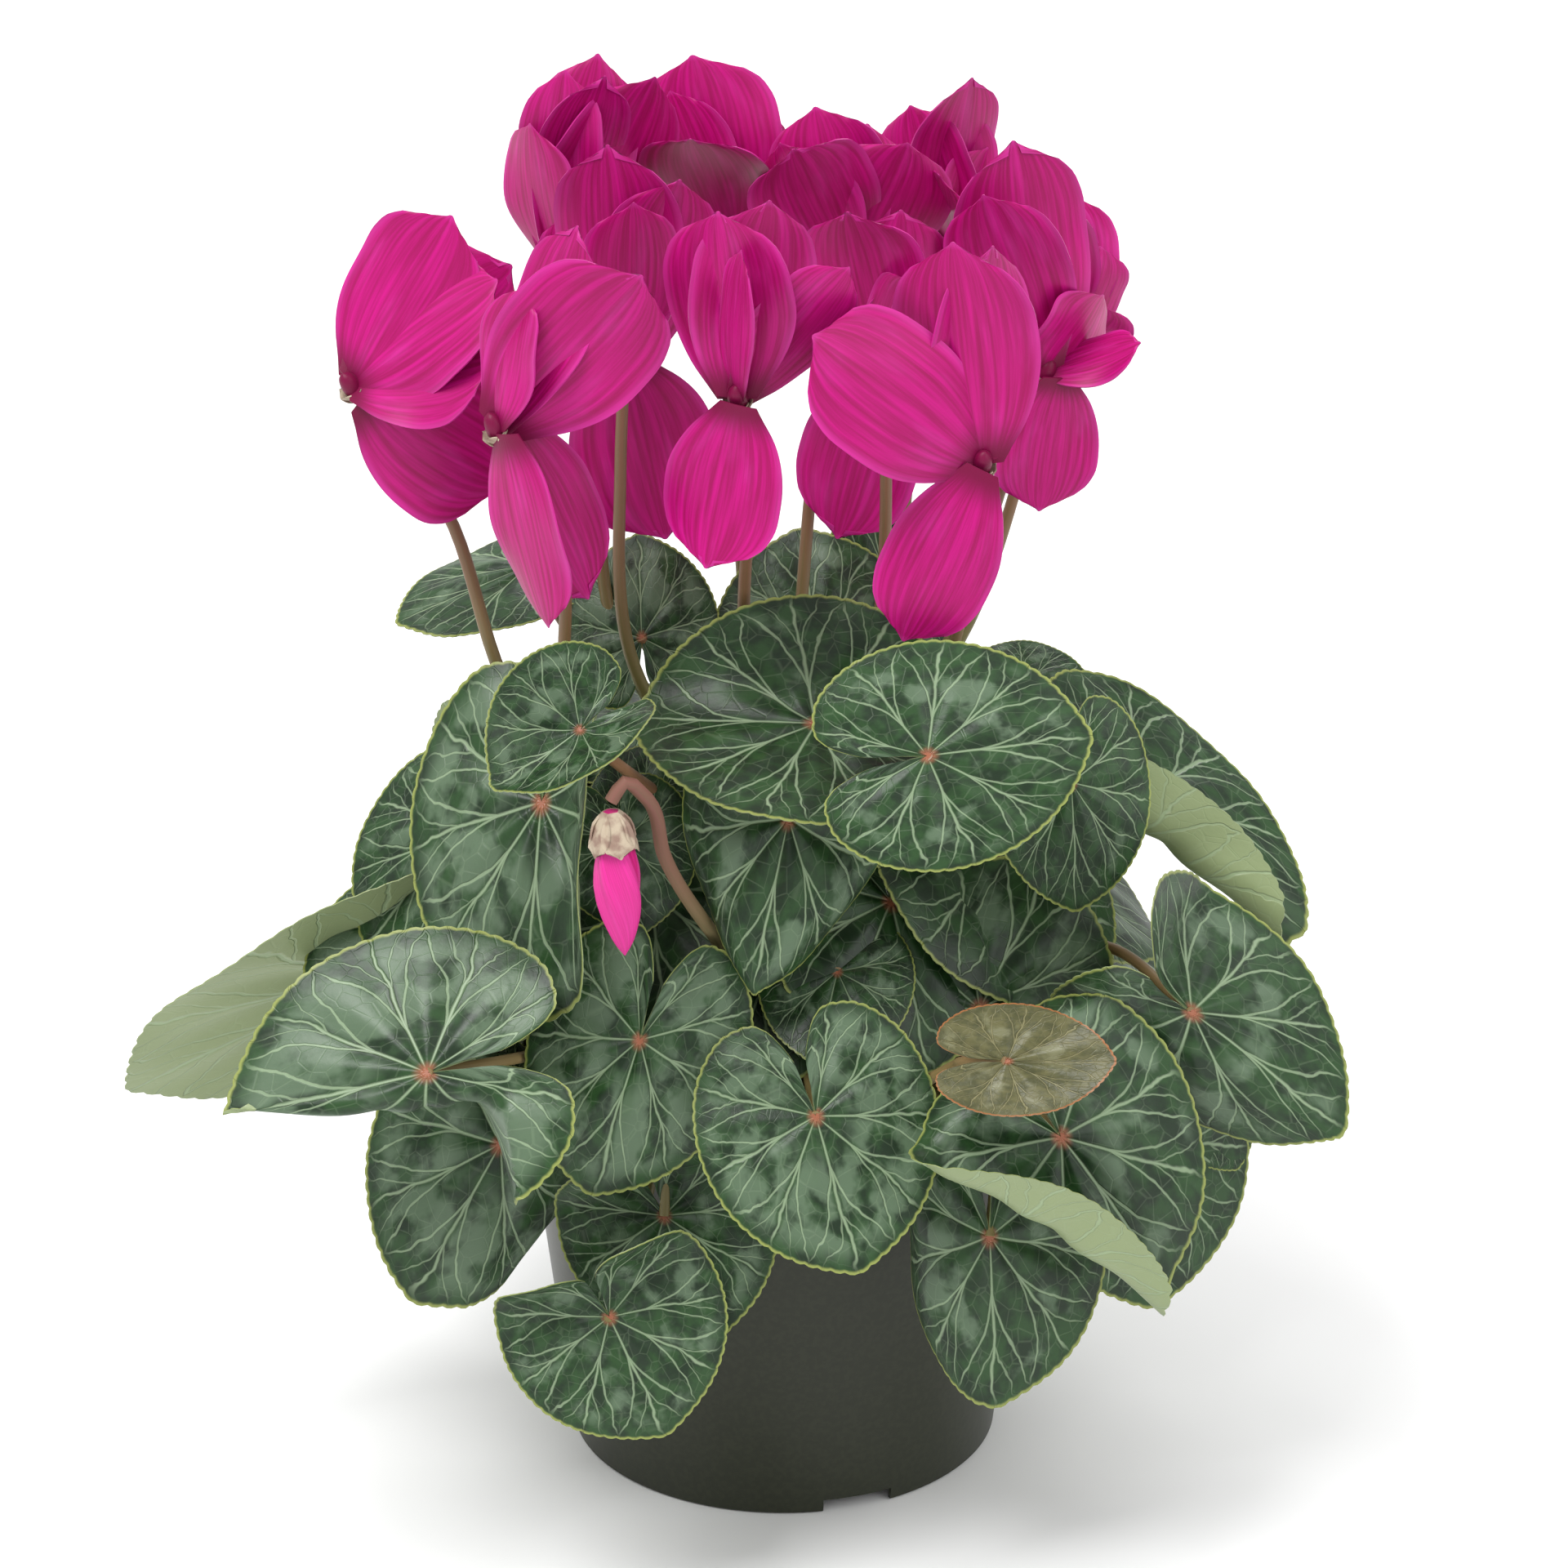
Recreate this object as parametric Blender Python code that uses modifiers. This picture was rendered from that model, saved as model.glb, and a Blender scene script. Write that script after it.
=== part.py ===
"""A potted cyclamen: heart-shaped leaves, twelve open flowers and a bud in a round nursery pot.

The tables below are in millimetres, with +Z up, the pot's foot at z = 0 and its axis at x = y = 0.
The plant's front faces -Y. The shapes are made in metres, which is what MM turns a length into.
"""

import math

import bmesh
import bpy
import numpy as np

MM = 0.001
GAP = 0.3  # clearance between pieces that rest against each other

# Pot
POT_TOP_RADIUS = 65.0
POT_FOOT_RADIUS = 51.0
POT_HEIGHT = 105.0
POT_WALL = 1.4
RIM_BAND_HEIGHT = 11.0
RIM_BAND_DEPTH = 1.2
POT_FLOOR_HEIGHT = 4.0
NOTCH_AZIMUTHS = (20.0, 140.0, 260.0)
NOTCH_WIDTH = 17.0
NOTCH_HEIGHT = 3.5
NOTCH_ROUNDING = 1.2
DRAIN_HOLES = 6
DRAIN_RADIUS = 4.0
DRAIN_RING_RADIUS = 34.0
POT_STEPS = 40

# Soil and tuber
SOIL_TOP = 91.0
TUBER_TOP = 97.0
TUBER_RADIUS = 31.5
TUBER_CROWN_RADIUS = 28.0
TUBER_HEIGHT = 26.0
TUBER_STEPS = 24

# Leaves and stems
BLADE_THICKNESS = 0.8
PETIOLE_RADIUS = 1.6
BLADE_RINGS = 3
BLADE_SPOKES = 12
PETIOLE_POINTS = 6
PETIOLE_RISE = 0.5  # how far a petiole's curve is drawn upwards, in parts of its span
PETIOLE_REACH = 0.4  # and how far it is drawn back from its blade
STEM_CLEARANCE = 1.5 * GAP  # between the tuber and the foot of each stem
STEM_UPRIGHT = 8.0  # each stem's first straight stretch
PETIOLE_UPRIGHT = 6.0
ROUTED_PETIOLE_POINTS = 9
BUD_STEM_POINTS = 18
CROWN_HUB = (0.0, 0.0, 140.0)  # petioles run towards it from behind their blades
LEAF_SEAT_RINGS = ((112, 26.0), (150, 21.0), (180, 16.0), (999, 12.0))  # (below this height, ring radius)
LEAF_SEAT_SPACING = 4.6
OUTLINE_ANGLES = (0, 12, 35, 65, 95, 125, 148, 163, 173)
OUTLINE_RADII = (1.0, 0.95, 0.90, 0.87, 0.85, 0.82, 0.75, 0.62, 0.36)

# Flowers
PETAL_THICKNESS = 0.6
PETAL_ROWS = 3
PETAL_COLUMNS = 2
PETAL_SHARES = (0, 0.12, 0.3, 0.5, 0.7, 0.85, 0.95, 1.0)
PETAL_HALF_WIDTHS = (0.17, 0.40, 0.78, 0.97, 0.97, 0.78, 0.46, 0.12)
PETAL_CUP = 0.10
FLOWER_TUBE_RADIUS = 4.5
SCAPE_RADIUS = 1.7
SCAPE_POINTS = 7
FLOWER_SEAT_RINGS = (3.6, 7.6)
BUD_LENGTH = 27.0
BUD_RADIUS = 5.2

# Leaf: name, petiole point, tip, the way its upper face looks (degrees right of the front, degrees up),
# width, cup, and bends as (direction from the tip, distance, angle, radius), in parts of its length.
LEAVES = (
    ("front", (7, -88, 123), (17, -105, 92), (3, 30), 0.88, -0.1, ()),
    ("lower_front_left", (-27, -74, 91), (-16, -86, 64), (-8, 20), 0.95, -0.1, ((175, 0.05, 60, 0.3),)),
    ("bottom_left", (-39, -94, 76), (-26, -104, 50), (0, 20), 1.0, -0.15, ((175, 0.08, 80, 0.25),)),
    ("lower_right", (46, -84, 91), (49, -91, 48), (8, 10), 0.75, -0.12, ((-90, 0.12, -75, 0.3),)),
    ("right_wrapped", (61, -92, 120), (89, -91, 81), (20, 12), 0.8, -0.15,
        ((-70, 0.25, 150, 0.1), (180, 0.3, -60, 0.2))),
    ("young", (48, -112, 148), (72, -113, 148), (0, 40), 0.62, 0.1, ()),
    ("right", (91, -66, 138), (130, -66, 108), (25, 30), 0.7, -0.1,
        ((-90, 0.05, -60, 0.2), (180, 0.1, 50, 0.2))),
    ("right_behind", (82, -46, 96), (87, -49, 51), (15, 5), 0.72, -0.1, ()),
    ("centre_right", (44, -58, 135), (62, -39, 164), (5, 30), 0.92, -0.1, ((180, 0.05, -80, 0.2),)),
    ("upper_right", (31, -80, 206), (68, -75, 209), (5, 30), 0.8, -0.05, ()),
    ("upper_left", (7, -55, 203), (-35, -49, 204), (-5, 70), 0.85, -0.05, ((-90, 0.05, 50, 0.25),)),
    ("centre", (1, -68, 186), (-8, -83, 146), (0, 20), 0.68, -0.1,
        ((60, 0.4, -60, 0.2), (-60, 0.4, -60, 0.2), (180, 0.05, -55, 0.2))),
    ("small_left", (-44, -80, 212), (-63, -90, 201), (-10, 50), 1.0, 0.1,
        ((90, 0.05, 35, 0.2), (-90, 0.05, 35, 0.2))),
    ("left_silver", (-54, -52, 183), (-59, -81, 141), (-20, 35), 0.75, -0.1, ((90, 0.06, 75, 0.15),)),
    ("left", (-78, -95, 137), (-125, -96, 127), (-10, 40), 0.85, -0.1, ((85, 0.06, -150, 0.08, 0.1, 0.35),)),
    ("far_left", (-97, -20, 127), (-155, -17, 93), (-160, 35), 0.6, 0, ()),
    ("lower_left", (-64, -66, 105), (-86, -72, 66), (-12, 15), 0.78, -0.1,
        ((90, 0.25, -80, 0.2), (180, 0.05, -60, 0.2))),
    ("centre_left", (-32, -76, 136), (-44, -85, 100), (-3, 15), 0.75, -0.1, ()),
    ("right_dark", (64, -50, 187), (66, -60, 159), (12, 20), 0.75, -0.1, ()),
    ("upper_far_right", (83, -10, 168), (123, -21, 138), (30, 45), 0.6, -0.1, ((-85, 0.12, 150, 0.08),)),
    ("far_left_upper", (-60, 30, 208), (-91, 14, 202), (-20, 75), 0.6, -0.1, ()),
    ("rear_1", (75, 20, 120), (111, 40, 92), (105, 45), 0.85, -0.1, ()),
    ("rear_2", (51, 61, 110), (69, 88, 76), (140, 35), 0.85, -0.1, ()),
    ("rear_3", (7, 78, 120), (16, 115, 92), (173, 45), 0.85, -0.1, ()),
    ("rear_4", (-42, 68, 106), (-63, 93, 72), (213, 30), 0.85, -0.1, ()),
    ("rear_5", (-73, 33, 118), (-106, 47, 90), (246, 45), 0.85, -0.1, ()),
    ("rear_6", (38, 48, 163), (57, 80, 148), (140, 55), 0.85, -0.1, ()),
    ("rear_7", (-12, 50, 172), (-14, 88, 152), (190, 50), 0.85, -0.1, ()),
)

# Petioles that go round a neighbour: the points between the crown and the blade.
PETIOLE_ROUTES = {
    "bottom_left": ((-16, -42, 118), (-26, -61, 112), (-32, -66, 88), (-40, -74, 66), (-44, -86, 66)),
    "young": ((12, -32, 116), (19, -54, 111), (30, -74, 124), (38, -85, 134), (39, -98, 141)),
    "right_wrapped": ((27, -40, 124), (46, -64, 114), (54, -74, 121)),
    "lower_front_left": ((-12, -40, 120), (-18, -62, 114), (-26, -70, 102)),
    "lower_right": ((24, -38, 112), (40, -60, 108.5), (47, -76, 102)),
    "lower_left": ((-28, -30, 124), (-46, -52, 116)),
    "left": ((-26, -36, 124), (-54, -66, 128)),
    "right": ((40, -22, 128), (74, -40, 142)),
    "upper_right": ((22, -16, 160), (36, -44, 180), (35, -68, 194)),
}

# Flower: name, mouth, route of the scape from the foliage up, and petals as (start, tip, facing, width).
FLOWERS = (
    ("01", (-95, -32, 274), ((-20, -6, 150), (-61, -18, 193), (-76, -18, 240)), (
        ((0, 0, 0), (-72, -32, 313), (-30, 20), 26),
        ((0, 0, 0), (-62, -40, 301), (0, 40), 24),
        ((0, 0, 0), (-60, -17, 297), (0, 10), 26),
        ((0, 0, 0), (-63, -46, 285), (0, 50), 22),
        ((3, -3, -1), (-61, -27, 250), (0, 0), 30),
    )),
    ("02", (-62, -60, 274), ((-15, -12, 150), (-48, -40, 206), (-49, -55, 242)), (
        ((0, 0, 0), (-30, -65, 310), (10, 20), 30),
        ((0, 0, 0), (-44, -52, 317), (-40, 10), 22),
        ((0, 0, 0), (-56, -58, 305), (-50, 10), 18),
        ((2, -4, 0), (-51, -68, 231), (-40, 0), 20),
        ((3, 3, 0), (-43, -48, 230), (20, 0), 22),
    )),
    ("03", (-51, 20, 283), ((-14, 5, 150), (-40, 15, 200), (-44, 19, 255)), (
        ((0, 0, 0), (-49, 20, 331), (-40, 10), 20),
        ((0, 0, 0), (-42, 30, 332), (0, 0), 22),
        ((0, 0, 0), (-40, 15, 331), (30, 10), 18),
        ((0, 0, 0), (-29, 25, 328), (25, 0), 28),
        ((0, 0, 0), (-57, 15, 320), (-40, 0), 22),
    )),
    ("04", (-36, -5, 269), ((-12, -3, 150), (-36, -5, 203), (-37, -5, 245)), (
        ((0, 0, 0), (-39, -5, 321), (-15, 10), 26),
        ((0, 0, 0), (-23, -5, 313), (20, 5), 26),
        ((0, 0, 0), (-33, -19, 312), (30, 10), 20),
        ((0, 0, 0), (-47, 3, 305), (-30, 0), 24),
        ((0, 4, 0), (-27, 3, 225), (10, 0), 30),
    )),
    ("05", (-13, 38, 286), ((-4, 9, 150), (-10, 30, 210), (-12, 36, 260)), (
        ((0, 0, 0), (-21, 43, 328), (0, 10), 30),
        ((0, 0, 0), (-26, 38, 321), (-40, 10), 18),
        ((0, 0, 0), (-21, 13, 317), (-10, 30), 26),
        ((0, 0, 0), (-2, 46, 313), (30, 0), 22),
        ((0, 0, 0), (-14, 53, 322), (20, 0), 24),
    )),
    ("06", (-10, -58, 280), ((-3, -10, 150), (-9, -30, 215), (-8, -46, 258)), (
        ((0, 0, 0), (-14, -58, 322), (-15, 15), 26),
        ((0, 0, 0), (-3, -50, 322), (15, 10), 26),
        ((0, 0, 0), (-9, -66, 316), (-50, 10), 12),
        ((0, 0, 0), (14, -56, 309), (40, 20), 18),
        ((0, -4, 0), (-17, -66, 244), (-15, 10), 24),
    )),
    ("07", (15, 20, 284), ((1, 2, 150), (4, 4, 209), (8, 12, 250)), (
        ((0, 0, 0), (7, 25, 321), (0, 10), 24),
        ((0, 0, 0), (28, 20, 314), (20, 15), 30),
        ((0, 0, 0), (2, 5, 317), (-5, 30), 26),
        ((0, 0, 0), (-1, 20, 314), (-30, 5), 22),
        ((0, 0, 0), (19, 32, 315), (10, 0), 24),
    )),
    ("08", (22, -8, 270), ((7, -4, 150), (21, -9, 204), (23, -9, 245)), (
        ((0, 0, 0), (14, -13, 308), (-15, 20), 26),
        ((0, 0, 0), (26, -5, 306), (15, 20), 24),
        ((0, 0, 0), (34, -3, 292), (30, 10), 20),
        ((0, 0, 0), (27, -20, 295), (-20, 10), 14),
        ((2, 4, 0), (12, -2, 227), (0, 0), 24),
    )),
    ("09", (38, 42, 283), ((8, 7, 150), (25, 25, 200), (32, 38, 255)), (
        ((0, 0, 0), (29, 47, 315), (-30, 10), 22),
        ((0, 0, 0), (38, 50, 315), (0, 5), 20),
        ((0, 0, 0), (43, 42, 323), (30, 5), 22),
        ((0, 0, 0), (35, 22, 306), (-20, 30), 24),
        ((0, 0, 0), (47, 47, 305), (45, 0), 20),
    )),
    ("10", (59, 0, 266), ((13, 1, 150), (42, 2, 210), (50, 1, 240)), (
        ((0, 0, 0), (51, 5, 319), (15, 10), 28),
        ((0, 0, 0), (44, -10, 311), (-5, 15), 24),
        ((0, 0, 0), (72, 5, 283), (50, 5), 26),
        ((0, 0, 0), (80, -5, 275), (20, 50), 12),
        ((3, -3, 0), (58, -3, 234), (15, 0), 22),
    )),
    ("11", (43, -52, 263), ((12, -7, 150), (39, -28, 215), (40, -42, 245)), (
        ((0, 0, 0), (6, -66, 297), (-10, 30), 28),
        ((0, 0, 0), (36, -54, 314), (-10, 20), 28),
        ((0, 0, 0), (45, -44, 310), (35, 10), 26),
        ((0, 0, 0), (28, -37, 302), (-20, 0), 22),
        ((0, -4, 0), (26, -58, 224), (-10, 10), 22),
    )),
    ("12", (64, 38, 261), ((14, 8, 150), (45, 25, 200), (58, 35, 240)), (
        ((0, 0, 0), (55, 43, 296), (-10, 10), 24),
        ((0, 0, 0), (64, 46, 295), (10, 5), 24),
        ((0, 0, 0), (73, 38, 284), (30, 10), 22),
        ((0, 0, 0), (73, 28, 273), (30, 30), 22),
        ((0, 0, 0), (57, 18, 300), (0, 30), 22),
    )),
)

BUD_SEAT = (-10, 16.0)  # azimuth and radius
BUD_ROUTE = (
    (-6, -36, 128), (-15, -62, 154), (-26, -86, 185), (-30, -95, 203), (-34, -97, 207), (-37, -98, 203),
)
BUD_CALYX = (-37, -98.3, 200.8)
BUD_TIP = (-34, -101, 164)


def clear_scene():
    for obj in list(bpy.data.objects):
        bpy.data.objects.remove(obj, do_unlink=True)


def collection(name, hidden=False):
    made = bpy.data.collections.new(name)
    bpy.context.scene.collection.children.link(made)
    made.hide_render = hidden
    return made


def place(obj, group):
    """Puts an object into one collection only. A helper's collection is hidden in the render."""
    for old in list(obj.users_collection):
        old.objects.unlink(obj)
    group.objects.link(obj)
    if group.hide_render:
        obj.hide_render = True
        obj.display_type = "WIRE"
    return obj


def finish(obj, colour, roughness):
    made = bpy.data.materials.new(obj.name)
    made.use_nodes = True
    shader = made.node_tree.nodes["Principled BSDF"]
    shader.inputs["Base Color"].default_value = (*colour, 1.0)
    shader.inputs["Roughness"].default_value = roughness
    shader.inputs["Metallic"].default_value = 0.0
    made.diffuse_color = (*colour, 1.0)
    obj.data.materials.clear()
    obj.data.materials.append(made)


def mesh_object(name, shape, group):
    data = bpy.data.meshes.new(name)
    shape.to_mesh(data)
    shape.free()
    return place(bpy.data.objects.new(name, data), group)


# --- directions and curves ---


def unit(vector):
    vector = np.asarray(vector, float)
    return vector / np.linalg.norm(vector)


def towards(azimuth, elevation):
    """The direction that many degrees right of the front and above the horizontal."""
    a, e = math.radians(azimuth), math.radians(elevation)
    return np.array((math.sin(a) * math.cos(e), -math.cos(a) * math.cos(e), math.sin(e)))


def on_circle(azimuth, radius, height):
    a = math.radians(azimuth)
    return np.array((radius * math.sin(a), -radius * math.cos(a), height))


def azimuth_of(point):
    return math.degrees(math.atan2(point[0], -point[1]))


def sheet_frame(root, tip, facing):
    """Rows along, across and out of a sheet's upper face."""
    along = unit(np.subtract(tip, root))
    out = towards(*facing)
    out = unit(out - np.dot(out, along) * along)
    return np.stack((along, np.cross(out, along), out))


def eased(at, knots, values):
    """A smooth curve through the values at the knots, read at every number in at."""
    knots, values = np.asarray(knots, float), np.asarray(values, float)
    slopes = np.gradient(values, knots)
    k = np.clip(np.searchsorted(knots, at, side="right") - 1, 0, len(knots) - 2)
    step = knots[k + 1] - knots[k]
    t = (at - knots[k]) / step
    ends = (1 + 2 * t) * (1 - t) ** 2 * values[k] + t * t * (3 - 2 * t) * values[k + 1]
    return ends + step * t * (1 - t) * ((1 - t) * slopes[k] - t * slopes[k + 1])


def bezier(points, count):
    t = np.linspace(0, 1, count)[:, None]
    a, b, c, d = (np.asarray(p, float) for p in points)
    return (1 - t) ** 3 * a + 3 * t * (1 - t) ** 2 * b + 3 * t * t * (1 - t) * c + t**3 * d


def smooth_route(points, count):
    """Points spread evenly along a smooth curve through the route's own points."""
    points = np.asarray(points, float)
    steps = np.linalg.norm(np.diff(points, axis=0), axis=1)
    run = np.append(0, np.cumsum(steps))
    at = np.linspace(0, run[-1], count)
    return np.stack([eased(at, run, points[:, k]) for k in range(3)], axis=1)


def spread_out(azimuths, least):
    """The azimuths, moved apart until neighbours are at least that many degrees from each other."""
    order = np.argsort(azimuths)
    turned = np.asarray(azimuths, float)[order]
    for _ in range(60):
        gaps = np.diff(np.append(turned, turned[0] + 360))
        push = np.maximum(least - gaps, 0) / 2
        turned += np.roll(push, 1) - push
    result = np.empty_like(turned)
    result[order] = turned
    return result


# --- thin sheets: leaf blades and petals ---


def bend(points, direction, distance, angle, radius, fade=None):
    """Rolls what lies beyond a crease line around a cylinder. A negative angle rolls it down.

    With fade, the angle goes to nothing between those two places along the crease.
    """
    a = math.radians(direction)
    across_crease = np.array((math.cos(a), math.sin(a), 0.0))
    along_crease = np.array((-math.sin(a), math.cos(a), 0.0))
    beyond = points @ across_crease - distance
    side = math.copysign(1.0, angle)
    height = points[:, 2] * side
    full = np.full(len(points), math.radians(abs(angle)))
    if fade:
        full = full * np.clip((fade[1] - points @ along_crease) / (fade[1] - fade[0]), 0.0001, 1)
    turn = np.clip(beyond / radius, 0, full)
    rest = np.maximum(beyond - radius * full, 0)
    moved = (radius - height) * np.sin(turn) + rest * np.cos(turn)
    lifted = radius - (radius - height) * np.cos(turn) + rest * np.sin(turn)
    bent = points + np.outer(np.where(beyond > 0, moved - beyond, 0), across_crease)
    bent[:, 2] = np.where(beyond > 0, lifted, height) * side
    return bent


def bend_all(points, bends, size):
    for direction, distance, angle, radius, *fade in bends:
        ends = (fade[0] * size, fade[1] * size) if fade else None
        points = bend(points, direction, distance * size, angle, radius * size, ends)
    return points


def blade_points(u, v, leaf):
    """Where a leaf's grid goes: u from 0 to 1 runs around the blade, v from the petiole to the edge."""
    _, root, tip, facing, width, cup, bends = leaf
    size = np.linalg.norm(np.subtract(tip, root))
    last = OUTLINE_ANGLES[-1]
    angle = (2 * u - 1) * last
    reach = v * eased(np.abs(angle), OUTLINE_ANGLES, OUTLINE_RADII) * size
    turn = np.radians(angle)
    depth = cup * reach**2 / size
    flat = np.stack((reach * np.cos(turn), reach * np.sin(turn) * width, depth), axis=1)
    return np.asarray(root) + bend_all(flat, bends, size) @ sheet_frame(root, tip, facing)


def petal_points(u, v, mouth, petal):
    """Where a petal's grid goes: u from 0 to 1 runs across it, v from its root to its tip."""
    start, tip, facing, width = petal
    root = np.add(mouth, start)
    size = np.linalg.norm(np.subtract(tip, root))
    side = 2 * u - 1
    half = width / 2 * eased(v, PETAL_SHARES, PETAL_HALF_WIDTHS)
    length = size * v * (1 - 0.1 * side**2 * v**3)
    depth = -PETAL_CUP * side**2 * half
    flat = np.stack((length, side * half, depth), axis=1)
    return root + flat @ sheet_frame(root, tip, facing)


def sheet(name, columns, rows, where, thickness, group):
    """A grid laid along a surface and given a thickness."""
    shape = bmesh.new()
    bmesh.ops.create_grid(shape, x_segments=columns, y_segments=rows, size=0.5)
    grid = np.array([v.co for v in shape.verts]) + 0.5
    for vertex, co in zip(shape.verts, where(grid[:, 0], grid[:, 1]) * MM):
        vertex.co = co
    bmesh.ops.remove_doubles(shape, verts=shape.verts, dist=0.01 * MM)
    obj = mesh_object(name, shape, group)
    solid = obj.modifiers.new("thickness", "SOLIDIFY")
    solid.thickness = thickness * MM
    solid.offset = 0.0
    return obj


# --- solids ---


def tube(name, points, radius, group):
    """A tube with closed ends along the points, as a mesh."""
    data = bpy.data.curves.new(name, "CURVE")
    data.dimensions = "3D"
    data.bevel_depth = radius * MM
    data.bevel_resolution = 1
    data.use_fill_caps = True
    line = data.splines.new("POLY")
    line.points.add(len(points) - 1)
    for target, co in zip(line.points, points):
        target.co = (*(np.asarray(co) * MM), 1.0)
    curve = place(bpy.data.objects.new(name + "_line", data), group)
    graph = bpy.context.evaluated_depsgraph_get()
    mesh = bpy.data.meshes.new_from_object(curve.evaluated_get(graph))
    made = place(bpy.data.objects.new(name, mesh), group)
    made.matrix_world = curve.matrix_world
    bpy.data.objects.remove(curve, do_unlink=True)
    shape = bmesh.new()
    shape.from_mesh(mesh)
    bmesh.ops.remove_doubles(shape, verts=shape.verts, dist=0.01 * MM)
    bmesh.ops.recalc_face_normals(shape, faces=shape.faces)
    shape.to_mesh(mesh)
    shape.free()
    return made


def turned(name, profile, steps, group):
    """A solid of revolution. The profile runs from the axis to the axis, down on its outer side."""
    shape = bmesh.new()
    corners = [shape.verts.new((r * MM, 0, z * MM)) for r, z in profile]
    for a, b in zip(corners, corners[1:]):
        shape.edges.new((a, b))
    obj = mesh_object(name, shape, group)
    screw = obj.modifiers.new("turn", "SCREW")
    screw.axis = "Z"
    screw.steps = screw.render_steps = steps
    screw.use_merge_vertices = True
    screw.merge_threshold = 0.01 * MM
    return obj


def ball(name, centre, radius, group):
    shape = bmesh.new()
    bmesh.ops.create_uvsphere(shape, u_segments=8, v_segments=5, radius=radius * MM)
    obj = mesh_object(name, shape, group)
    obj.location = np.asarray(centre, float) * MM
    return obj


def combine(obj, others, operation):
    for other in others:
        step = obj.modifiers.new(operation.lower() + "_" + other.name, "BOOLEAN")
        step.operation = operation
        step.solver = "EXACT"
        step.object = other
    return obj


# --- pot, soil and tuber ---


def inner_radius(height):
    """The pot's inner wall at that height."""
    outer = POT_FOOT_RADIUS + (POT_TOP_RADIUS - RIM_BAND_DEPTH - POT_FOOT_RADIUS) * height / POT_HEIGHT
    return outer - POT_WALL


def notch_cutter(azimuth, helpers):
    shape = bmesh.new()
    bmesh.ops.create_cube(shape, size=1.0)
    obj = mesh_object(f"notch_{azimuth:.0f}", shape, helpers)
    for vertex in obj.data.vertices:
        vertex.co.x *= NOTCH_WIDTH * MM
        vertex.co.y *= 12 * MM
        vertex.co.z *= 2 * NOTCH_HEIGHT * MM
    rounding = obj.modifiers.new("rounding", "BEVEL")
    rounding.width = NOTCH_ROUNDING * MM
    rounding.segments = 2
    obj.location = on_circle(azimuth, POT_FOOT_RADIUS, 0) * MM
    obj.rotation_euler.z = math.radians(azimuth)
    return obj


def drain_cutter(number, helpers):
    shape = bmesh.new()
    bmesh.ops.create_cone(
        shape, cap_ends=True, segments=12, depth=8 * MM,
        radius1=DRAIN_RADIUS * MM, radius2=DRAIN_RADIUS * MM,
    )
    obj = mesh_object(f"drain_{number}", shape, helpers)
    obj.location = on_circle(80 + number * 360 / DRAIN_HOLES, DRAIN_RING_RADIUS, POT_FLOOR_HEIGHT) * MM
    return obj


def make_pot(parts, helpers):
    floor = POT_FLOOR_HEIGHT
    band_foot = POT_HEIGHT - RIM_BAND_HEIGHT
    wall_at_band = inner_radius(band_foot) + POT_WALL
    profile = (
        (0, floor + POT_WALL),
        (inner_radius(floor + POT_WALL), floor + POT_WALL),
        (inner_radius(POT_HEIGHT), POT_HEIGHT),
        (POT_TOP_RADIUS, POT_HEIGHT),
        (POT_TOP_RADIUS - 0.2, band_foot),
        (wall_at_band, band_foot - 1.0),
        (POT_FOOT_RADIUS, 0),
        (inner_radius(0), 0),
        (inner_radius(floor), floor),
        (0, floor),
    )
    pot = turned("pot", profile, POT_STEPS, parts)
    cutters = [notch_cutter(azimuth, helpers) for azimuth in NOTCH_AZIMUTHS]
    cutters += [drain_cutter(number, helpers) for number in range(DRAIN_HOLES)]
    combine(pot, cutters, "DIFFERENCE")
    finish(pot, (0.028, 0.031, 0.020), 0.45)


def tuber_profile(grown):
    """The tuber's outline, grown outwards by that much."""
    bottom = TUBER_TOP - TUBER_HEIGHT
    return (
        (0, TUBER_TOP + grown),
        (TUBER_CROWN_RADIUS, TUBER_TOP + grown),
        (TUBER_RADIUS - 0.6 + grown, TUBER_TOP - 3),
        (TUBER_RADIUS + grown, SOIL_TOP - 2),
        (TUBER_RADIUS - 4 + grown, bottom + 8 - grown),
        (TUBER_RADIUS - 13 + grown, bottom + 2 - grown),
        (0, bottom - grown),
    )


def make_soil_and_tuber(parts):
    tuber = turned("tuber", tuber_profile(0), TUBER_STEPS, parts)
    finish(tuber, (0.10, 0.055, 0.030), 0.9)
    pocket = [p for p in tuber_profile(GAP + 0.3) if p[1] < SOIL_TOP][::-1]
    foot = POT_FLOOR_HEIGHT + POT_WALL + GAP
    profile = (
        *pocket,
        (TUBER_RADIUS + 2 * GAP, SOIL_TOP),
        (inner_radius(SOIL_TOP) - GAP, SOIL_TOP),
        (inner_radius(foot) - GAP, foot),
        (0, foot),
    )
    soil = turned("soil", profile, POT_STEPS, parts)
    finish(soil, (0.035, 0.022, 0.014), 0.95)


# --- leaves ---


def seat_ring(leaf):
    return next(number for number, (limit, _) in enumerate(LEAF_SEAT_RINGS) if leaf[1][2] < limit)


def leaf_seats():
    """Where each petiole stands on the tuber: low leaves on the outer rings, high ones inside."""
    seats = {}
    for number, (_, radius) in enumerate(LEAF_SEAT_RINGS):
        ring = [leaf for leaf in LEAVES if seat_ring(leaf) == number]
        least = math.degrees(LEAF_SEAT_SPACING / radius)
        azimuths = spread_out([azimuth_of(leaf[1]) for leaf in ring], least)
        for leaf, azimuth in zip(ring, azimuths):
            seats[leaf[0]] = on_circle(azimuth, radius, TUBER_TOP + STEM_CLEARANCE)
    return seats


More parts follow.
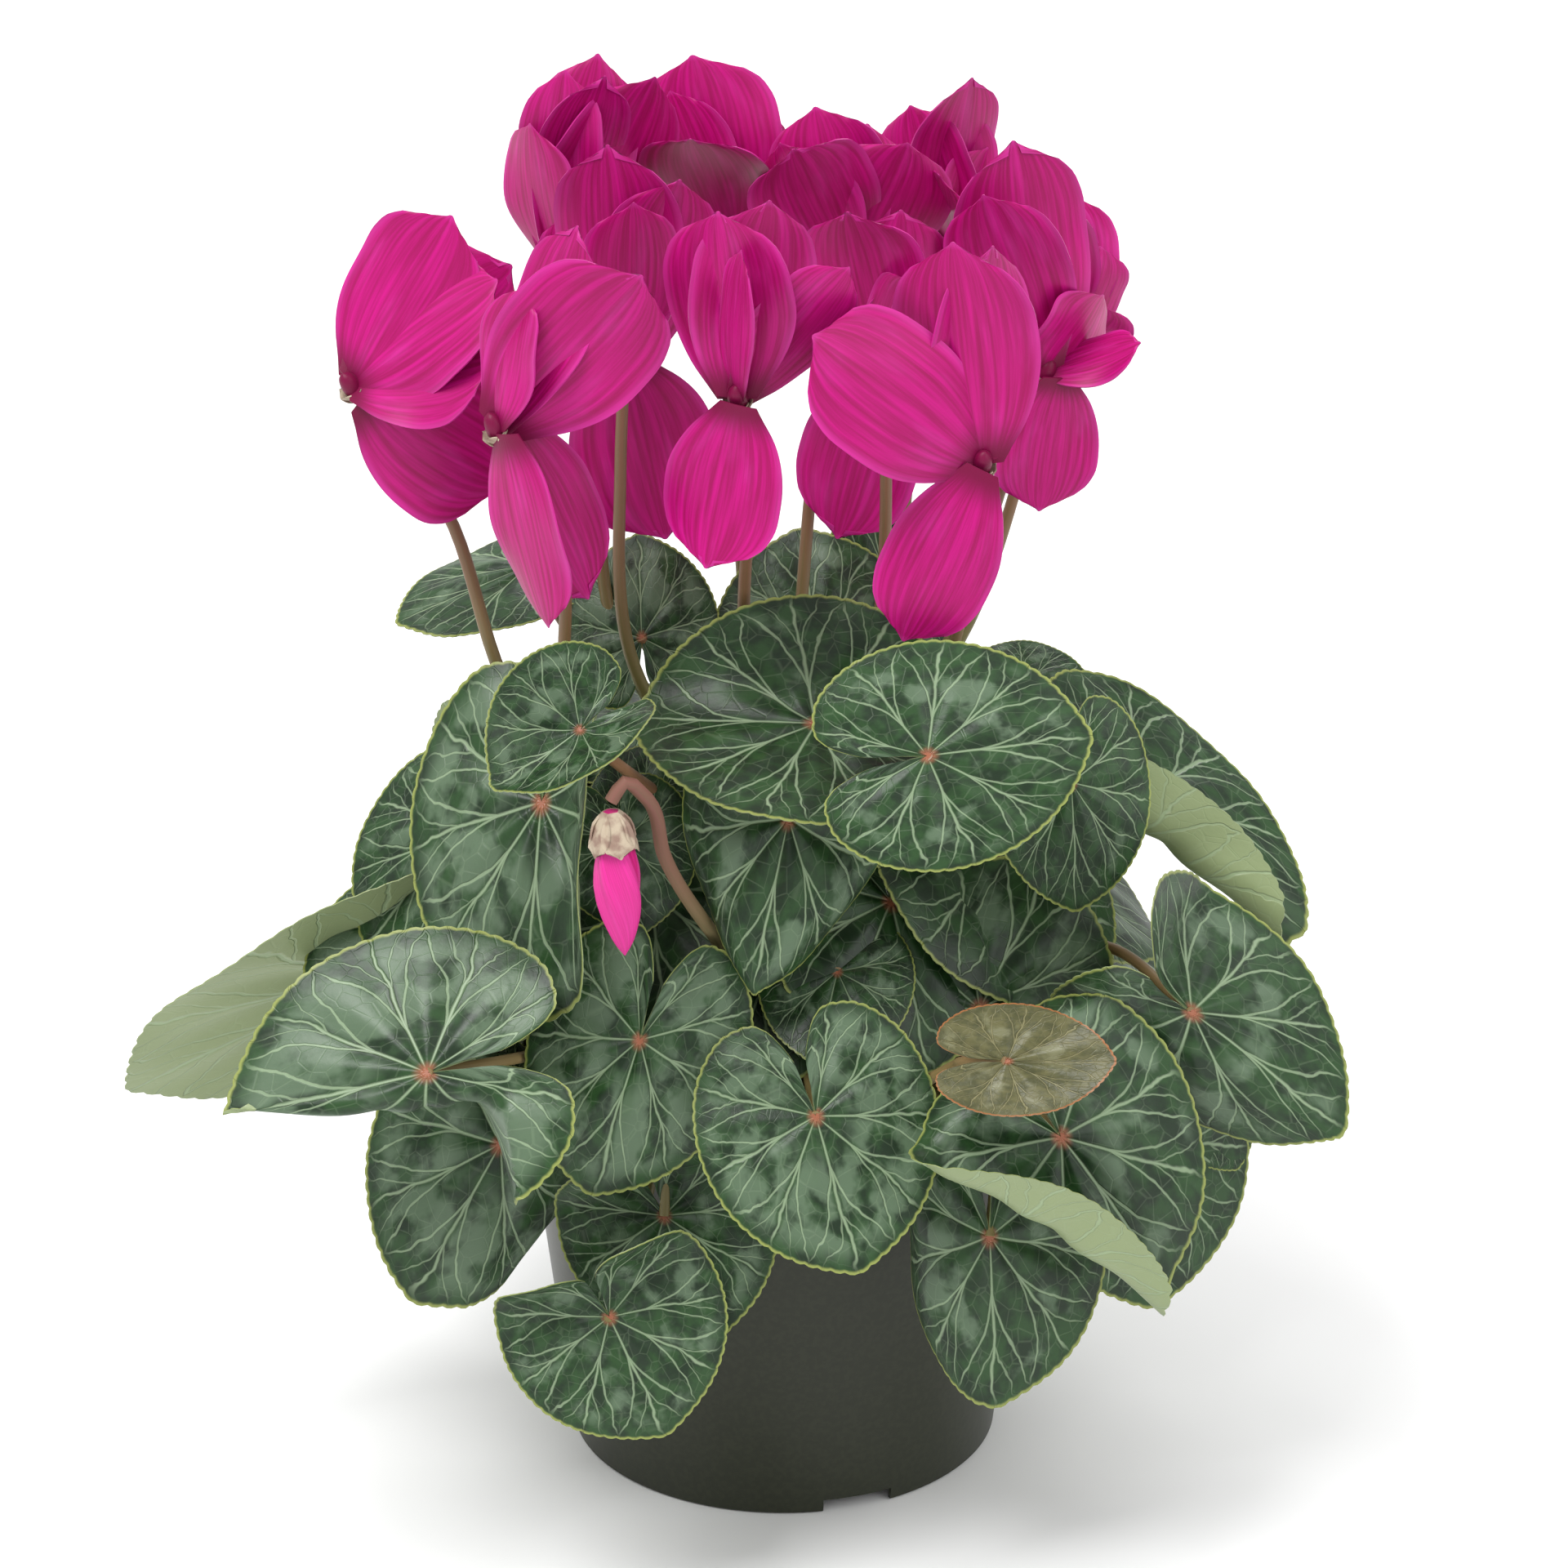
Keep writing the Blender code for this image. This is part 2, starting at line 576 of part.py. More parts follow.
def petiole_points(leaf, seat, count):
    """A petiole rises from its seat, and meets its blade from behind."""
    root = np.asarray(leaf[1], float)
    if leaf[0] in PETIOLE_ROUTES:
        start = [seat, seat + np.array((0, 0, PETIOLE_UPRIGHT))]
        return smooth_route([*start, *PETIOLE_ROUTES[leaf[0]], root], ROUTED_PETIOLE_POINTS)
    out = sheet_frame(*leaf[1:4])[2]
    reach = np.linalg.norm(root - seat)
    back = unit(np.subtract(CROWN_HUB, root))
    back = unit(back - max(np.dot(back, out), 0) * out - 0.45 * out)
    rise = seat + np.array((0, 0, PETIOLE_RISE * reach))
    return bezier((seat, rise, root + PETIOLE_REACH * reach * back, root), count)


def make_leaf(leaf, seat, parts, helpers):
    name = "leaf_" + leaf[0]
    blade = sheet(
        name, BLADE_SPOKES, BLADE_RINGS, lambda u, v: blade_points(u, v, leaf), BLADE_THICKNESS, parts
    )
    stalk = tube(name + "_stalk", petiole_points(leaf, seat, PETIOLE_POINTS), PETIOLE_RADIUS, helpers)
    combine(blade, [stalk], "UNION")
    finish(blade, (0.030, 0.085, 0.030), 0.4)


# --- flowers ---


def flower_seats():
    """Scapes stand inside the leaves, the outward-leaning ones on the outer ring."""
    ranked = sorted(FLOWERS, key=lambda flower: math.hypot(flower[1][0], flower[1][1]))
    seats = {}
    inner = 4
    for radius, ring in zip(FLOWER_SEAT_RINGS, (ranked[:inner], ranked[inner:])):
        least = math.degrees(LEAF_SEAT_SPACING / radius)
        azimuths = spread_out([azimuth_of(flower[1]) for flower in ring], least)
        for flower, azimuth in zip(ring, azimuths):
            seats[flower[0]] = on_circle(azimuth, radius, TUBER_TOP + STEM_CLEARANCE)
    return seats


def make_flower(flower, seat, parts, helpers):
    number, mouth, route, petals = flower
    head = ball("flower_" + number, mouth, FLOWER_TUBE_RADIUS, parts)
    sheets = [
        sheet(
            f"flower_{number}_petal_{k}", PETAL_COLUMNS, PETAL_ROWS,
            lambda u, v, petal=petal: petal_points(u, v, mouth, petal), PETAL_THICKNESS, helpers,
        )
        for k, petal in enumerate(petals, 1)
    ]
    combine(head, sheets, "UNION")
    finish(head, (0.62, 0.010, 0.20), 0.4)
    arriving = unit(np.subtract(mouth, route[-1]))
    end = np.asarray(mouth) - (FLOWER_TUBE_RADIUS + GAP) * arriving
    start = [seat, seat + np.array((0, 0, STEM_UPRIGHT))]
    line = smooth_route([*start, *route, end], SCAPE_POINTS)
    scape = tube("flower_stem_" + number, line, SCAPE_RADIUS, parts)
    finish(scape, (0.16, 0.12, 0.030), 0.5)


def make_bud(parts):
    seat = on_circle(*BUD_SEAT, TUBER_TOP + STEM_CLEARANCE)
    route = [seat, seat + np.array((0, 0, STEM_UPRIGHT)), *BUD_ROUTE]
    stem = tube("bud_stem", smooth_route(route, BUD_STEM_POINTS), SCAPE_RADIUS, parts)
    finish(stem, (0.16, 0.10, 0.060), 0.6)
    profile = [
        (BUD_RADIUS * share, -BUD_LENGTH * run)
        for run, share in ((0, 0), (0, 0.6), (0.25, 0.9), (0.5, 1.0), (0.75, 0.75), (0.95, 0.28), (1, 0))
    ]
    bud = turned("bud", profile, 12, parts)
    bud.location = np.asarray(BUD_CALYX, float) * MM
    down = unit(np.subtract(BUD_TIP, BUD_CALYX))
    bud.rotation_euler = (math.atan2(down[1], -down[2]), -math.atan2(down[0], -down[2]), 0)
    finish(bud, (0.75, 0.012, 0.22), 0.35)


def main():
    clear_scene()
    parts = collection("potted_cyclamen")
    helpers = collection("cutters_and_joined_shapes", hidden=True)
    make_pot(parts, helpers)
    make_soil_and_tuber(parts)
    seats = leaf_seats()
    for leaf in LEAVES:
        make_leaf(leaf, seats[leaf[0]], parts, helpers)
    seats = flower_seats()
    for flower in FLOWERS:
        make_flower(flower, seats[flower[0]], parts, helpers)
    make_bud(parts)


main()
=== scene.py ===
"""The looks of the potted cyclamen: marbled leaves, veined petals, stems, bud, pot and soil.

The tables are in millimetres, with +Z up and the front towards -Y, as in the CAD.
"""

import math

import bmesh
import bpy
import numpy as np
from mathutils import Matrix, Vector


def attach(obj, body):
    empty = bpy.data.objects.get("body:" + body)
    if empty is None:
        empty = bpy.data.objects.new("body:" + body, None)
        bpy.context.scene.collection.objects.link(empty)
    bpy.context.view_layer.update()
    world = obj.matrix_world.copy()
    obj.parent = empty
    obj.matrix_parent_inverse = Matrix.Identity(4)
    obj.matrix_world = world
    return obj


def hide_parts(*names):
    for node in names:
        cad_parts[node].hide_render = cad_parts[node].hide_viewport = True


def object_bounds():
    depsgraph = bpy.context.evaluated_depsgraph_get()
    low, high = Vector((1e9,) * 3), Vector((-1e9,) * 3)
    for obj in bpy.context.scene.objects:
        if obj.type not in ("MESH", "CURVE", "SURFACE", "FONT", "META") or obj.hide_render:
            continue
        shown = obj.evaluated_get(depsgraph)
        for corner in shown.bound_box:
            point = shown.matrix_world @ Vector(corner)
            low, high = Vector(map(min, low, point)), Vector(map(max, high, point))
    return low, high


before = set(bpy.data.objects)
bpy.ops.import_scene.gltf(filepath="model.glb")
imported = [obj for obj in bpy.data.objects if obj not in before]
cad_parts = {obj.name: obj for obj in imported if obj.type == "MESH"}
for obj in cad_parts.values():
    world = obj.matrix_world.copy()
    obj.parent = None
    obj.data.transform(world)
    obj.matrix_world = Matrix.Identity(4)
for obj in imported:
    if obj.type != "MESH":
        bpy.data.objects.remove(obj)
FRAME_BOX = [list(map(float, side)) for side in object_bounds()]
LOW, HIGH = 1000 * np.array(FRAME_BOX)
BOX_MARGIN = 0.1

MM = 0.001
GAP = 0.3  # clearance between pieces that rest against each other

# Pot
POT_TOP_RADIUS = 65.0
POT_FOOT_RADIUS = 51.0
POT_HEIGHT = 105.0
POT_WALL = 1.4
RIM_BAND_HEIGHT = 11.0
RIM_BAND_DEPTH = 1.2
POT_FLOOR_HEIGHT = 4.0
NOTCH_AZIMUTHS = (20.0, 140.0, 260.0)
NOTCH_WIDTH = 17.0
NOTCH_HEIGHT = 3.5

# Soil and tuber
SOIL_TOP = 91.0
TUBER_TOP = 97.0
TUBER_RADIUS = 31.5
TUBER_CROWN_RADIUS = 28.0
TUBER_HEIGHT = 26.0

# Leaves and stems
PETIOLE_RADIUS = 1.6
PETIOLE_RISE = 0.5  # how far a petiole's curve is drawn upwards, in parts of its span
PETIOLE_REACH = 0.4  # and how far it is drawn back from its blade
STEM_CLEARANCE = 1.5 * GAP  # between the tuber and the foot of each stem
STEM_UPRIGHT = 8.0  # each stem's first straight stretch
PETIOLE_UPRIGHT = 6.0
ROUTED_PETIOLE_POINTS = 36
CROWN_HUB = (0.0, 0.0, 140.0)  # petioles run towards it from behind their blades
LEAF_SEAT_RINGS = ((112, 26.0), (150, 21.0), (180, 16.0), (999, 12.0))  # (below this height, ring radius)
LEAF_SEAT_SPACING = 4.6
OUTLINE_ANGLES = (0, 12, 35, 65, 95, 125, 148, 163, 173)
OUTLINE_RADII = (1.0, 0.95, 0.90, 0.87, 0.85, 0.82, 0.75, 0.62, 0.36)

# Flowers
PETAL_CUP = 0.10
FLOWER_TUBE_RADIUS = 4.5
SCAPE_RADIUS = 1.7
FLOWER_SEAT_RINGS = (3.6, 7.6)
BUD_RADIUS = 5.2

# Leaf: name, petiole point, tip, the way its upper face looks (degrees right of the front, degrees up),
# width, cup, and bends as (direction from the tip, distance, angle, radius), in parts of its length.
LEAVES = (
    ("front", (7, -88, 123), (17, -105, 92), (3, 30), 0.88, -0.1, ()),
    ("lower_front_left", (-27, -74, 91), (-16, -86, 64), (-8, 20), 0.95, -0.1, ((175, 0.05, 60, 0.3),)),
    ("bottom_left", (-39, -94, 76), (-26, -104, 50), (0, 20), 1.0, -0.15, ((175, 0.08, 80, 0.25),)),
    ("lower_right", (46, -84, 91), (49, -91, 48), (8, 10), 0.75, -0.12, ((-90, 0.12, -75, 0.3),)),
    ("right_wrapped", (61, -92, 120), (89, -91, 81), (20, 12), 0.8, -0.15,
        ((-70, 0.25, 150, 0.1), (180, 0.3, -60, 0.2))),
    ("young", (48, -112, 148), (72, -113, 148), (0, 40), 0.62, 0.1, ()),
    ("right", (91, -66, 138), (130, -66, 108), (25, 30), 0.7, -0.1,
        ((-90, 0.05, -60, 0.2), (180, 0.1, 50, 0.2))),
    ("right_behind", (82, -46, 96), (87, -49, 51), (15, 5), 0.72, -0.1, ()),
    ("centre_right", (44, -58, 135), (62, -39, 164), (5, 30), 0.92, -0.1, ((180, 0.05, -80, 0.2),)),
    ("upper_right", (31, -80, 206), (68, -75, 209), (5, 30), 0.8, -0.05, ()),
    ("upper_left", (7, -55, 203), (-35, -49, 204), (-5, 70), 0.85, -0.05, ((-90, 0.05, 50, 0.25),)),
    ("centre", (1, -68, 186), (-8, -83, 146), (0, 20), 0.68, -0.1,
        ((60, 0.4, -60, 0.2), (-60, 0.4, -60, 0.2), (180, 0.05, -55, 0.2))),
    ("small_left", (-44, -80, 212), (-63, -90, 201), (-10, 50), 1.0, 0.1,
        ((90, 0.05, 35, 0.2), (-90, 0.05, 35, 0.2))),
    ("left_silver", (-54, -52, 183), (-59, -81, 141), (-20, 35), 0.75, -0.1, ((90, 0.06, 75, 0.15),)),
    ("left", (-78, -95, 137), (-125, -96, 127), (-10, 40), 0.85, -0.1,
        ((85, 0.06, -150, 0.08, 0.1, 0.35),)),
    ("far_left", (-97, -20, 127), (-155, -17, 93), (-160, 35), 0.6, 0, ()),
    ("lower_left", (-64, -66, 105), (-86, -72, 66), (-12, 15), 0.78, -0.1,
        ((90, 0.25, -80, 0.2), (180, 0.05, -60, 0.2))),
    ("centre_left", (-32, -76, 136), (-44, -85, 100), (-3, 15), 0.75, -0.1, ()),
    ("right_dark", (64, -50, 187), (66, -60, 159), (12, 20), 0.75, -0.1, ()),
    ("upper_far_right", (83, -10, 168), (123, -21, 138), (30, 45), 0.6, -0.1, ((-85, 0.12, 150, 0.08),)),
    ("far_left_upper", (-60, 30, 208), (-91, 14, 202), (-20, 75), 0.6, -0.1, ()),
    ("rear_1", (75, 20, 120), (111, 40, 92), (105, 45), 0.85, -0.1, ()),
    ("rear_2", (51, 61, 110), (69, 88, 76), (140, 35), 0.85, -0.1, ()),
    ("rear_3", (7, 78, 120), (16, 115, 92), (173, 45), 0.85, -0.1, ()),
    ("rear_4", (-42, 68, 106), (-63, 93, 72), (213, 30), 0.85, -0.1, ()),
    ("rear_5", (-73, 33, 118), (-106, 47, 90), (246, 45), 0.85, -0.1, ()),
    ("rear_6", (38, 48, 163), (57, 80, 148), (140, 55), 0.85, -0.1, ()),
    ("rear_7", (-12, 50, 172), (-14, 88, 152), (190, 50), 0.85, -0.1, ()),
)

# Petioles that go round a neighbour: the points between the crown and the blade.
PETIOLE_ROUTES = {
    "bottom_left": ((-16, -42, 118), (-26, -61, 112), (-32, -66, 88), (-40, -74, 66), (-44, -86, 66)),
    "young": ((12, -32, 116), (19, -54, 111), (30, -74, 124), (38, -85, 134), (39, -98, 141)),
    "right_wrapped": ((27, -40, 124), (46, -64, 114), (54, -74, 121)),
    "lower_front_left": ((-12, -40, 120), (-18, -62, 114), (-26, -70, 102)),
    "lower_right": ((24, -38, 112), (40, -60, 108.5), (47, -76, 102)),
    "lower_left": ((-28, -30, 124), (-46, -52, 116)),
    "left": ((-26, -36, 124), (-54, -66, 128)),
    "right": ((40, -22, 128), (74, -40, 142)),
    "upper_right": ((22, -16, 160), (36, -44, 180), (35, -68, 194)),
}

# Flower: name, mouth, route of the scape from the foliage up, and petals as (start, tip, facing, width).
FLOWERS = (
    ("01", (-95, -32, 274), ((-20, -6, 150), (-61, -18, 193), (-76, -18, 240)), (
        ((0, 0, 0), (-72, -32, 313), (-30, 20), 26),
        ((0, 0, 0), (-62, -40, 301), (0, 40), 24),
        ((0, 0, 0), (-60, -17, 297), (0, 10), 26),
        ((0, 0, 0), (-63, -46, 285), (0, 50), 22),
        ((3, -3, -1), (-61, -27, 250), (0, 0), 30),
    )),
    ("02", (-62, -60, 274), ((-15, -12, 150), (-48, -40, 206), (-49, -55, 242)), (
        ((0, 0, 0), (-30, -65, 310), (10, 20), 30),
        ((0, 0, 0), (-44, -52, 317), (-40, 10), 22),
        ((0, 0, 0), (-56, -58, 305), (-50, 10), 18),
        ((2, -4, 0), (-51, -68, 231), (-40, 0), 20),
        ((3, 3, 0), (-43, -48, 230), (20, 0), 22),
    )),
    ("03", (-51, 20, 283), ((-14, 5, 150), (-40, 15, 200), (-44, 19, 255)), (
        ((0, 0, 0), (-49, 20, 331), (-40, 10), 20),
        ((0, 0, 0), (-42, 30, 332), (0, 0), 22),
        ((0, 0, 0), (-40, 15, 331), (30, 10), 18),
        ((0, 0, 0), (-29, 25, 328), (25, 0), 28),
        ((0, 0, 0), (-57, 15, 320), (-40, 0), 22),
    )),
    ("04", (-36, -5, 269), ((-12, -3, 150), (-36, -5, 203), (-37, -5, 245)), (
        ((0, 0, 0), (-39, -5, 321), (-15, 10), 26),
        ((0, 0, 0), (-23, -5, 313), (20, 5), 26),
        ((0, 0, 0), (-33, -19, 312), (30, 10), 20),
        ((0, 0, 0), (-47, 3, 305), (-30, 0), 24),
        ((0, 4, 0), (-27, 3, 225), (10, 0), 30),
    )),
    ("05", (-13, 38, 286), ((-4, 9, 150), (-10, 30, 210), (-12, 36, 260)), (
        ((0, 0, 0), (-21, 43, 328), (0, 10), 30),
        ((0, 0, 0), (-26, 38, 321), (-40, 10), 18),
        ((0, 0, 0), (-21, 13, 317), (-10, 30), 26),
        ((0, 0, 0), (-2, 46, 313), (30, 0), 22),
        ((0, 0, 0), (-14, 53, 322), (20, 0), 24),
    )),
    ("06", (-10, -58, 280), ((-3, -10, 150), (-9, -30, 215), (-8, -46, 258)), (
        ((0, 0, 0), (-14, -58, 322), (-15, 15), 26),
        ((0, 0, 0), (-3, -50, 322), (15, 10), 26),
        ((0, 0, 0), (-9, -66, 316), (-50, 10), 12),
        ((0, 0, 0), (14, -56, 309), (40, 20), 18),
        ((0, -4, 0), (-17, -66, 244), (-15, 10), 24),
    )),
    ("07", (15, 20, 284), ((1, 2, 150), (4, 4, 209), (8, 12, 250)), (
        ((0, 0, 0), (7, 25, 321), (0, 10), 24),
        ((0, 0, 0), (28, 20, 314), (20, 15), 30),
        ((0, 0, 0), (2, 5, 317), (-5, 30), 26),
        ((0, 0, 0), (-1, 20, 314), (-30, 5), 22),
        ((0, 0, 0), (19, 32, 315), (10, 0), 24),
    )),
    ("08", (22, -8, 270), ((7, -4, 150), (21, -9, 204), (23, -9, 245)), (
        ((0, 0, 0), (14, -13, 308), (-15, 20), 26),
        ((0, 0, 0), (26, -5, 306), (15, 20), 24),
        ((0, 0, 0), (34, -3, 292), (30, 10), 20),
        ((0, 0, 0), (27, -20, 295), (-20, 10), 14),
        ((2, 4, 0), (12, -2, 227), (0, 0), 24),
    )),
    ("09", (38, 42, 283), ((8, 7, 150), (25, 25, 200), (32, 38, 255)), (
        ((0, 0, 0), (29, 47, 315), (-30, 10), 22),
        ((0, 0, 0), (38, 50, 315), (0, 5), 20),
        ((0, 0, 0), (43, 42, 323), (30, 5), 22),
        ((0, 0, 0), (35, 22, 306), (-20, 30), 24),
        ((0, 0, 0), (47, 47, 305), (45, 0), 20),
    )),
    ("10", (59, 0, 266), ((13, 1, 150), (42, 2, 210), (50, 1, 240)), (
        ((0, 0, 0), (51, 5, 319), (15, 10), 28),
        ((0, 0, 0), (44, -10, 311), (-5, 15), 24),
        ((0, 0, 0), (72, 5, 283), (50, 5), 26),
        ((0, 0, 0), (80, -5, 275), (20, 50), 12),
        ((3, -3, 0), (58, -3, 234), (15, 0), 22),
    )),
    ("11", (43, -52, 263), ((12, -7, 150), (39, -28, 215), (40, -42, 245)), (
        ((0, 0, 0), (6, -66, 297), (-10, 30), 28),
        ((0, 0, 0), (36, -54, 314), (-10, 20), 28),
        ((0, 0, 0), (45, -44, 310), (35, 10), 26),
        ((0, 0, 0), (28, -37, 302), (-20, 0), 22),
        ((0, -4, 0), (26, -58, 224), (-10, 10), 22),
    )),
    ("12", (64, 38, 261), ((14, 8, 150), (45, 25, 200), (58, 35, 240)), (
        ((0, 0, 0), (55, 43, 296), (-10, 10), 24),
        ((0, 0, 0), (64, 46, 295), (10, 5), 24),
        ((0, 0, 0), (73, 38, 284), (30, 10), 22),
        ((0, 0, 0), (73, 28, 273), (30, 30), 22),
        ((0, 0, 0), (57, 18, 300), (0, 30), 22),
    )),
)

BUD_SEAT = (-10, 16.0)  # azimuth and radius
BUD_ROUTE = (
    (-6, -36, 128), (-15, -62, 154), (-26, -86, 185), (-30, -95, 203), (-34, -97, 207), (-37, -98, 203),
)
BUD_CALYX = (-37, -98.3, 200.8)
BUD_TIP = (-34, -101, 164)

# Finer shapes than the CAD's
VEINS = 9
TEETH = 62
TOOTH_DEPTH = 0.022
LEAF_COLUMNS = 187
LEAF_ROWS = 26
LEAF_THICKNESS = 0.6
HOLLOW_DEPTH = 0.012  # of the grooves along the veins, in parts of the leaf's length
PETIOLE_LOOK_POINTS = 24
MORE_LEAVES_SEAT_RADIUS = 23.5
PETAL_LOOK_COLUMNS = 15
PETAL_LOOK_ROWS = 28
PETAL_LOOK_THICKNESS = 0.45
PETAL_LOOK_SHARES = (0, 0.06, 0.18, 0.38, 0.58, 0.76, 0.89, 0.96, 1.0)
PETAL_LOOK_WIDTHS = (0.30, 0.42, 0.68, 0.94, 1.0, 0.94, 0.74, 0.48, 0.10)
PETAL_FULLNESS = 1.14  # wider than the CAD's petals, which keep clear of each other
SEPALS = 5
SEPAL_THICKNESS = 0.4
SCAPE_LOOK_POINTS = 44
BUD_LOOK_LENGTH = 33.0
BUD_SHARES = (0, 0.08, 0.25, 0.5, 0.78, 0.93, 1)
BUD_RADII = (0.35, 0.62, 0.80, 1.0, 0.72, 0.34, 0.03)
BUD_PETALS = 5
BUD_SPIRAL = 9.0  # radians that the furled edges turn from the calyx to the tip
BUD_STEM_LOOK_POINTS = 60
POT_STEPS = 144
SOIL_STEPS = 140
SOIL_RINGS = 16
SOIL_GRAIN = 0.45
TUBER_STEPS = 72

# Colours
LEAF_COLOURS = {
    "dark": (0.006, 0.021, 0.006),
    "green": (0.018, 0.058, 0.014),
    "silver": (0.100, 0.155, 0.092),
    "vein": (0.33, 0.44, 0.27),
    "margin": (0.24, 0.28, 0.07),
    "under": (0.26, 0.32, 0.16),
}
YOUNG_COLOURS = {
    "dark": (0.060, 0.062, 0.022),
    "green": (0.110, 0.105, 0.040),
    "silver": (0.17, 0.17, 0.09),
    "vein": (0.26, 0.24, 0.12),
    "margin": (0.30, 0.11, 0.03),
    "under": (0.25, 0.20, 0.10),
}
LEAF_CENTRE = (0.30, 0.10, 0.05)
PETAL_COLOURS = {
    "deep": (0.30, 0.001, 0.085),
    "bright": (0.50, 0.002, 0.19),
    # lilac: the painted sheen on the petals' edges and tips, also used for their paler patches
    "lilac_and_sheen": (0.68, 0.06, 0.42),
    "base": (0.16, 0.001, 0.04),
}
FURLED_COLOURS = {
    "deep": (0.45, 0.002, 0.12),
    "bright": (0.68, 0.006, 0.24),
    # lilac: the painted sheen on the bud's edges and tip, also used for its paler patches
    "lilac_and_sheen": (0.78, 0.08, 0.42),
    "base": (0.48, 0.004, 0.15),
}

# Camera and light: the camera looks at the target from the front, tilted down.
TARGET = (0.0, 0.0, 0.1654)
CAMERA_DISTANCE = 1.3
CAMERA_TILT = math.radians(23)
CAMERA_LENS = 128.3
SENSOR_WIDTH = 36.0
WORLD_STRENGTH = 0.80
LIGHTS = (  # name, place, diameter, watts
    ("key", (-0.7, -0.7, 1.9), 1.0, 32.0),
    ("fill", (1.3, -0.9, 1.1), 1.4, 9.0),
    ("back", (0.3, 1.3, 1.6), 1.2, 14.0),
)

# Leaves with more silver than most, and with less
SILVERY = ("left_silver", "front", "centre_left", "lower_left", "left", "low_left", "back_left")
PLAIN = ("right_dark", "upper_left", "upper_far_right", "right_behind", "inner_3", "inner_4", "inner_5")

# Small leaves, half-hidden ones and those inside the crown, in the same form as LEAVES.
MORE_LEAVES = (
    ("back_left", (-33, 10, 198), (-34, 23, 220), (-5, 30), 0.85, -0.1, ()),
    ("back_centre", (8, 10, 196), (3, 24, 221), (0, 30), 1.0, -0.1, ()),
    ("rear_8", (-45, 20, 170), (-82, 35, 158), (248, 55), 0.85, -0.1, ()),
    ("small_right", (98, -35, 101), (106, -40, 85), (30, 20), 0.8, -0.1, ()),
    ("pale_back", (-60, -20, 166), (-76, -10, 192), (165, 25), 0.8, -0.1, ()),
    ("small_far_left", (-74, -30, 166), (-97, -40, 142), (-30, 30), 0.8, -0.1, ()),
    ("small_centre", (12, -60, 145), (7, -78, 131), (0, 40), 0.9, -0.1, ()),
    ("small_upper", (-36, -55, 175), (-31, -62, 155), (0, 20), 0.9, -0.1, ()),
    ("back_right", (55, 10, 186), (73, 15, 186), (20, 50), 0.8, -0.1, ()),
    ("back_tall", (25, 20, 202), (19, 30, 229), (0, 30), 0.6, -0.1, ()),
    ("low_left", (-82, -35, 146), (-111, -40, 134), (-20, 40), 0.7, -0.1, ()),
    ("under_right", (43, -68, 72), (38, -74, 56), (10, 20), 0.8, -0.1, ()),
    ("small_back", (-33, -40, 174), (-30, -30, 189), (0, 20), 0.8, -0.1, ()),
    ("inner_1", (-52, -28, 150), (-78, -48, 122), (-50, 40), 0.9, -0.1, ()),
    ("inner_2", (-30, -46, 158), (-50, -72, 132), (-30, 40), 0.9, -0.1, ()),
    ("inner_3", (-4, -48, 152), (-4, -76, 124), (0, 40), 0.9, -0.1, ()),
    ("inner_4", (24, -46, 156), (34, -72, 126), (20, 40), 0.9, -0.1, ()),
    ("inner_5", (48, -32, 160), (72, -50, 132), (45, 40), 0.9, -0.1, ()),
    ("inner_6", (58, -4, 150), (92, -8, 128), (80, 40), 0.9, -0.1, ()),
    ("inner_7", (-58, 4, 158), (-92, 4, 138), (-88, 40), 0.9, -0.1, ()),
    ("inner_8", (14, 40, 150), (30, 74, 130), (160, 45), 0.9, -0.1, ()),
    ("inner_9", (-24, 38, 150), (-42, 66, 130), (215, 45), 0.9, -0.1, ()),
    ("inner_10", (-12, -24, 176), (-16, -52, 170), (-10, 70), 0.9, -0.1, ()),
    ("inner_11", (24, -18, 178), (36, -46, 172), (20, 70), 0.9, -0.1, ()),
    ("inner_12", (-34, 2, 180), (-60, -6, 172), (-70, 70), 0.9, -0.1, ()),
    ("inner_13", (0, 26, 178), (4, 56, 172), (180, 70), 0.9, -0.1, ()),
    ("inner_14", (38, 14, 176), (66, 22, 168), (110, 70), 0.9, -0.1, ()),
)


# --- directions, curves and places ---


def unit(vector):
    vector = np.asarray(vector, float)
    return vector / np.linalg.norm(vector)


def towards(azimuth, elevation):
    """The direction that many degrees right of the front and above the horizontal."""
    a, e = math.radians(azimuth), math.radians(elevation)
    return np.array((math.sin(a) * math.cos(e), -math.cos(a) * math.cos(e), math.sin(e)))


def on_circle(azimuth, radius, height):
    a = math.radians(azimuth)
    return np.array((radius * math.sin(a), -radius * math.cos(a), height))


def azimuth_of(point):
    return math.degrees(math.atan2(point[0], -point[1]))


def sheet_frame(root, tip, facing):
    """Rows along, across and out of a sheet's upper face."""
    along = unit(np.subtract(tip, root))
    out = towards(*facing)
    out = unit(out - np.dot(out, along) * along)
    return np.stack((along, np.cross(out, along), out))


def eased(at, knots, values):
    """A smooth curve through the values at the knots, read at every number in at."""
    knots, values = np.asarray(knots, float), np.asarray(values, float)
    slopes = np.gradient(values, knots)
    k = np.clip(np.searchsorted(knots, at, side="right") - 1, 0, len(knots) - 2)
    step = knots[k + 1] - knots[k]
    t = (at - knots[k]) / step
    ends = (1 + 2 * t) * (1 - t) ** 2 * values[k] + t * t * (3 - 2 * t) * values[k + 1]
    return ends + step * t * (1 - t) * ((1 - t) * slopes[k] - t * slopes[k + 1])


def bezier(points, count):
    t = np.linspace(0, 1, count)[:, None]
    a, b, c, d = (np.asarray(p, float) for p in points)
    return (1 - t) ** 3 * a + 3 * t * (1 - t) ** 2 * b + 3 * t * t * (1 - t) * c + t**3 * d


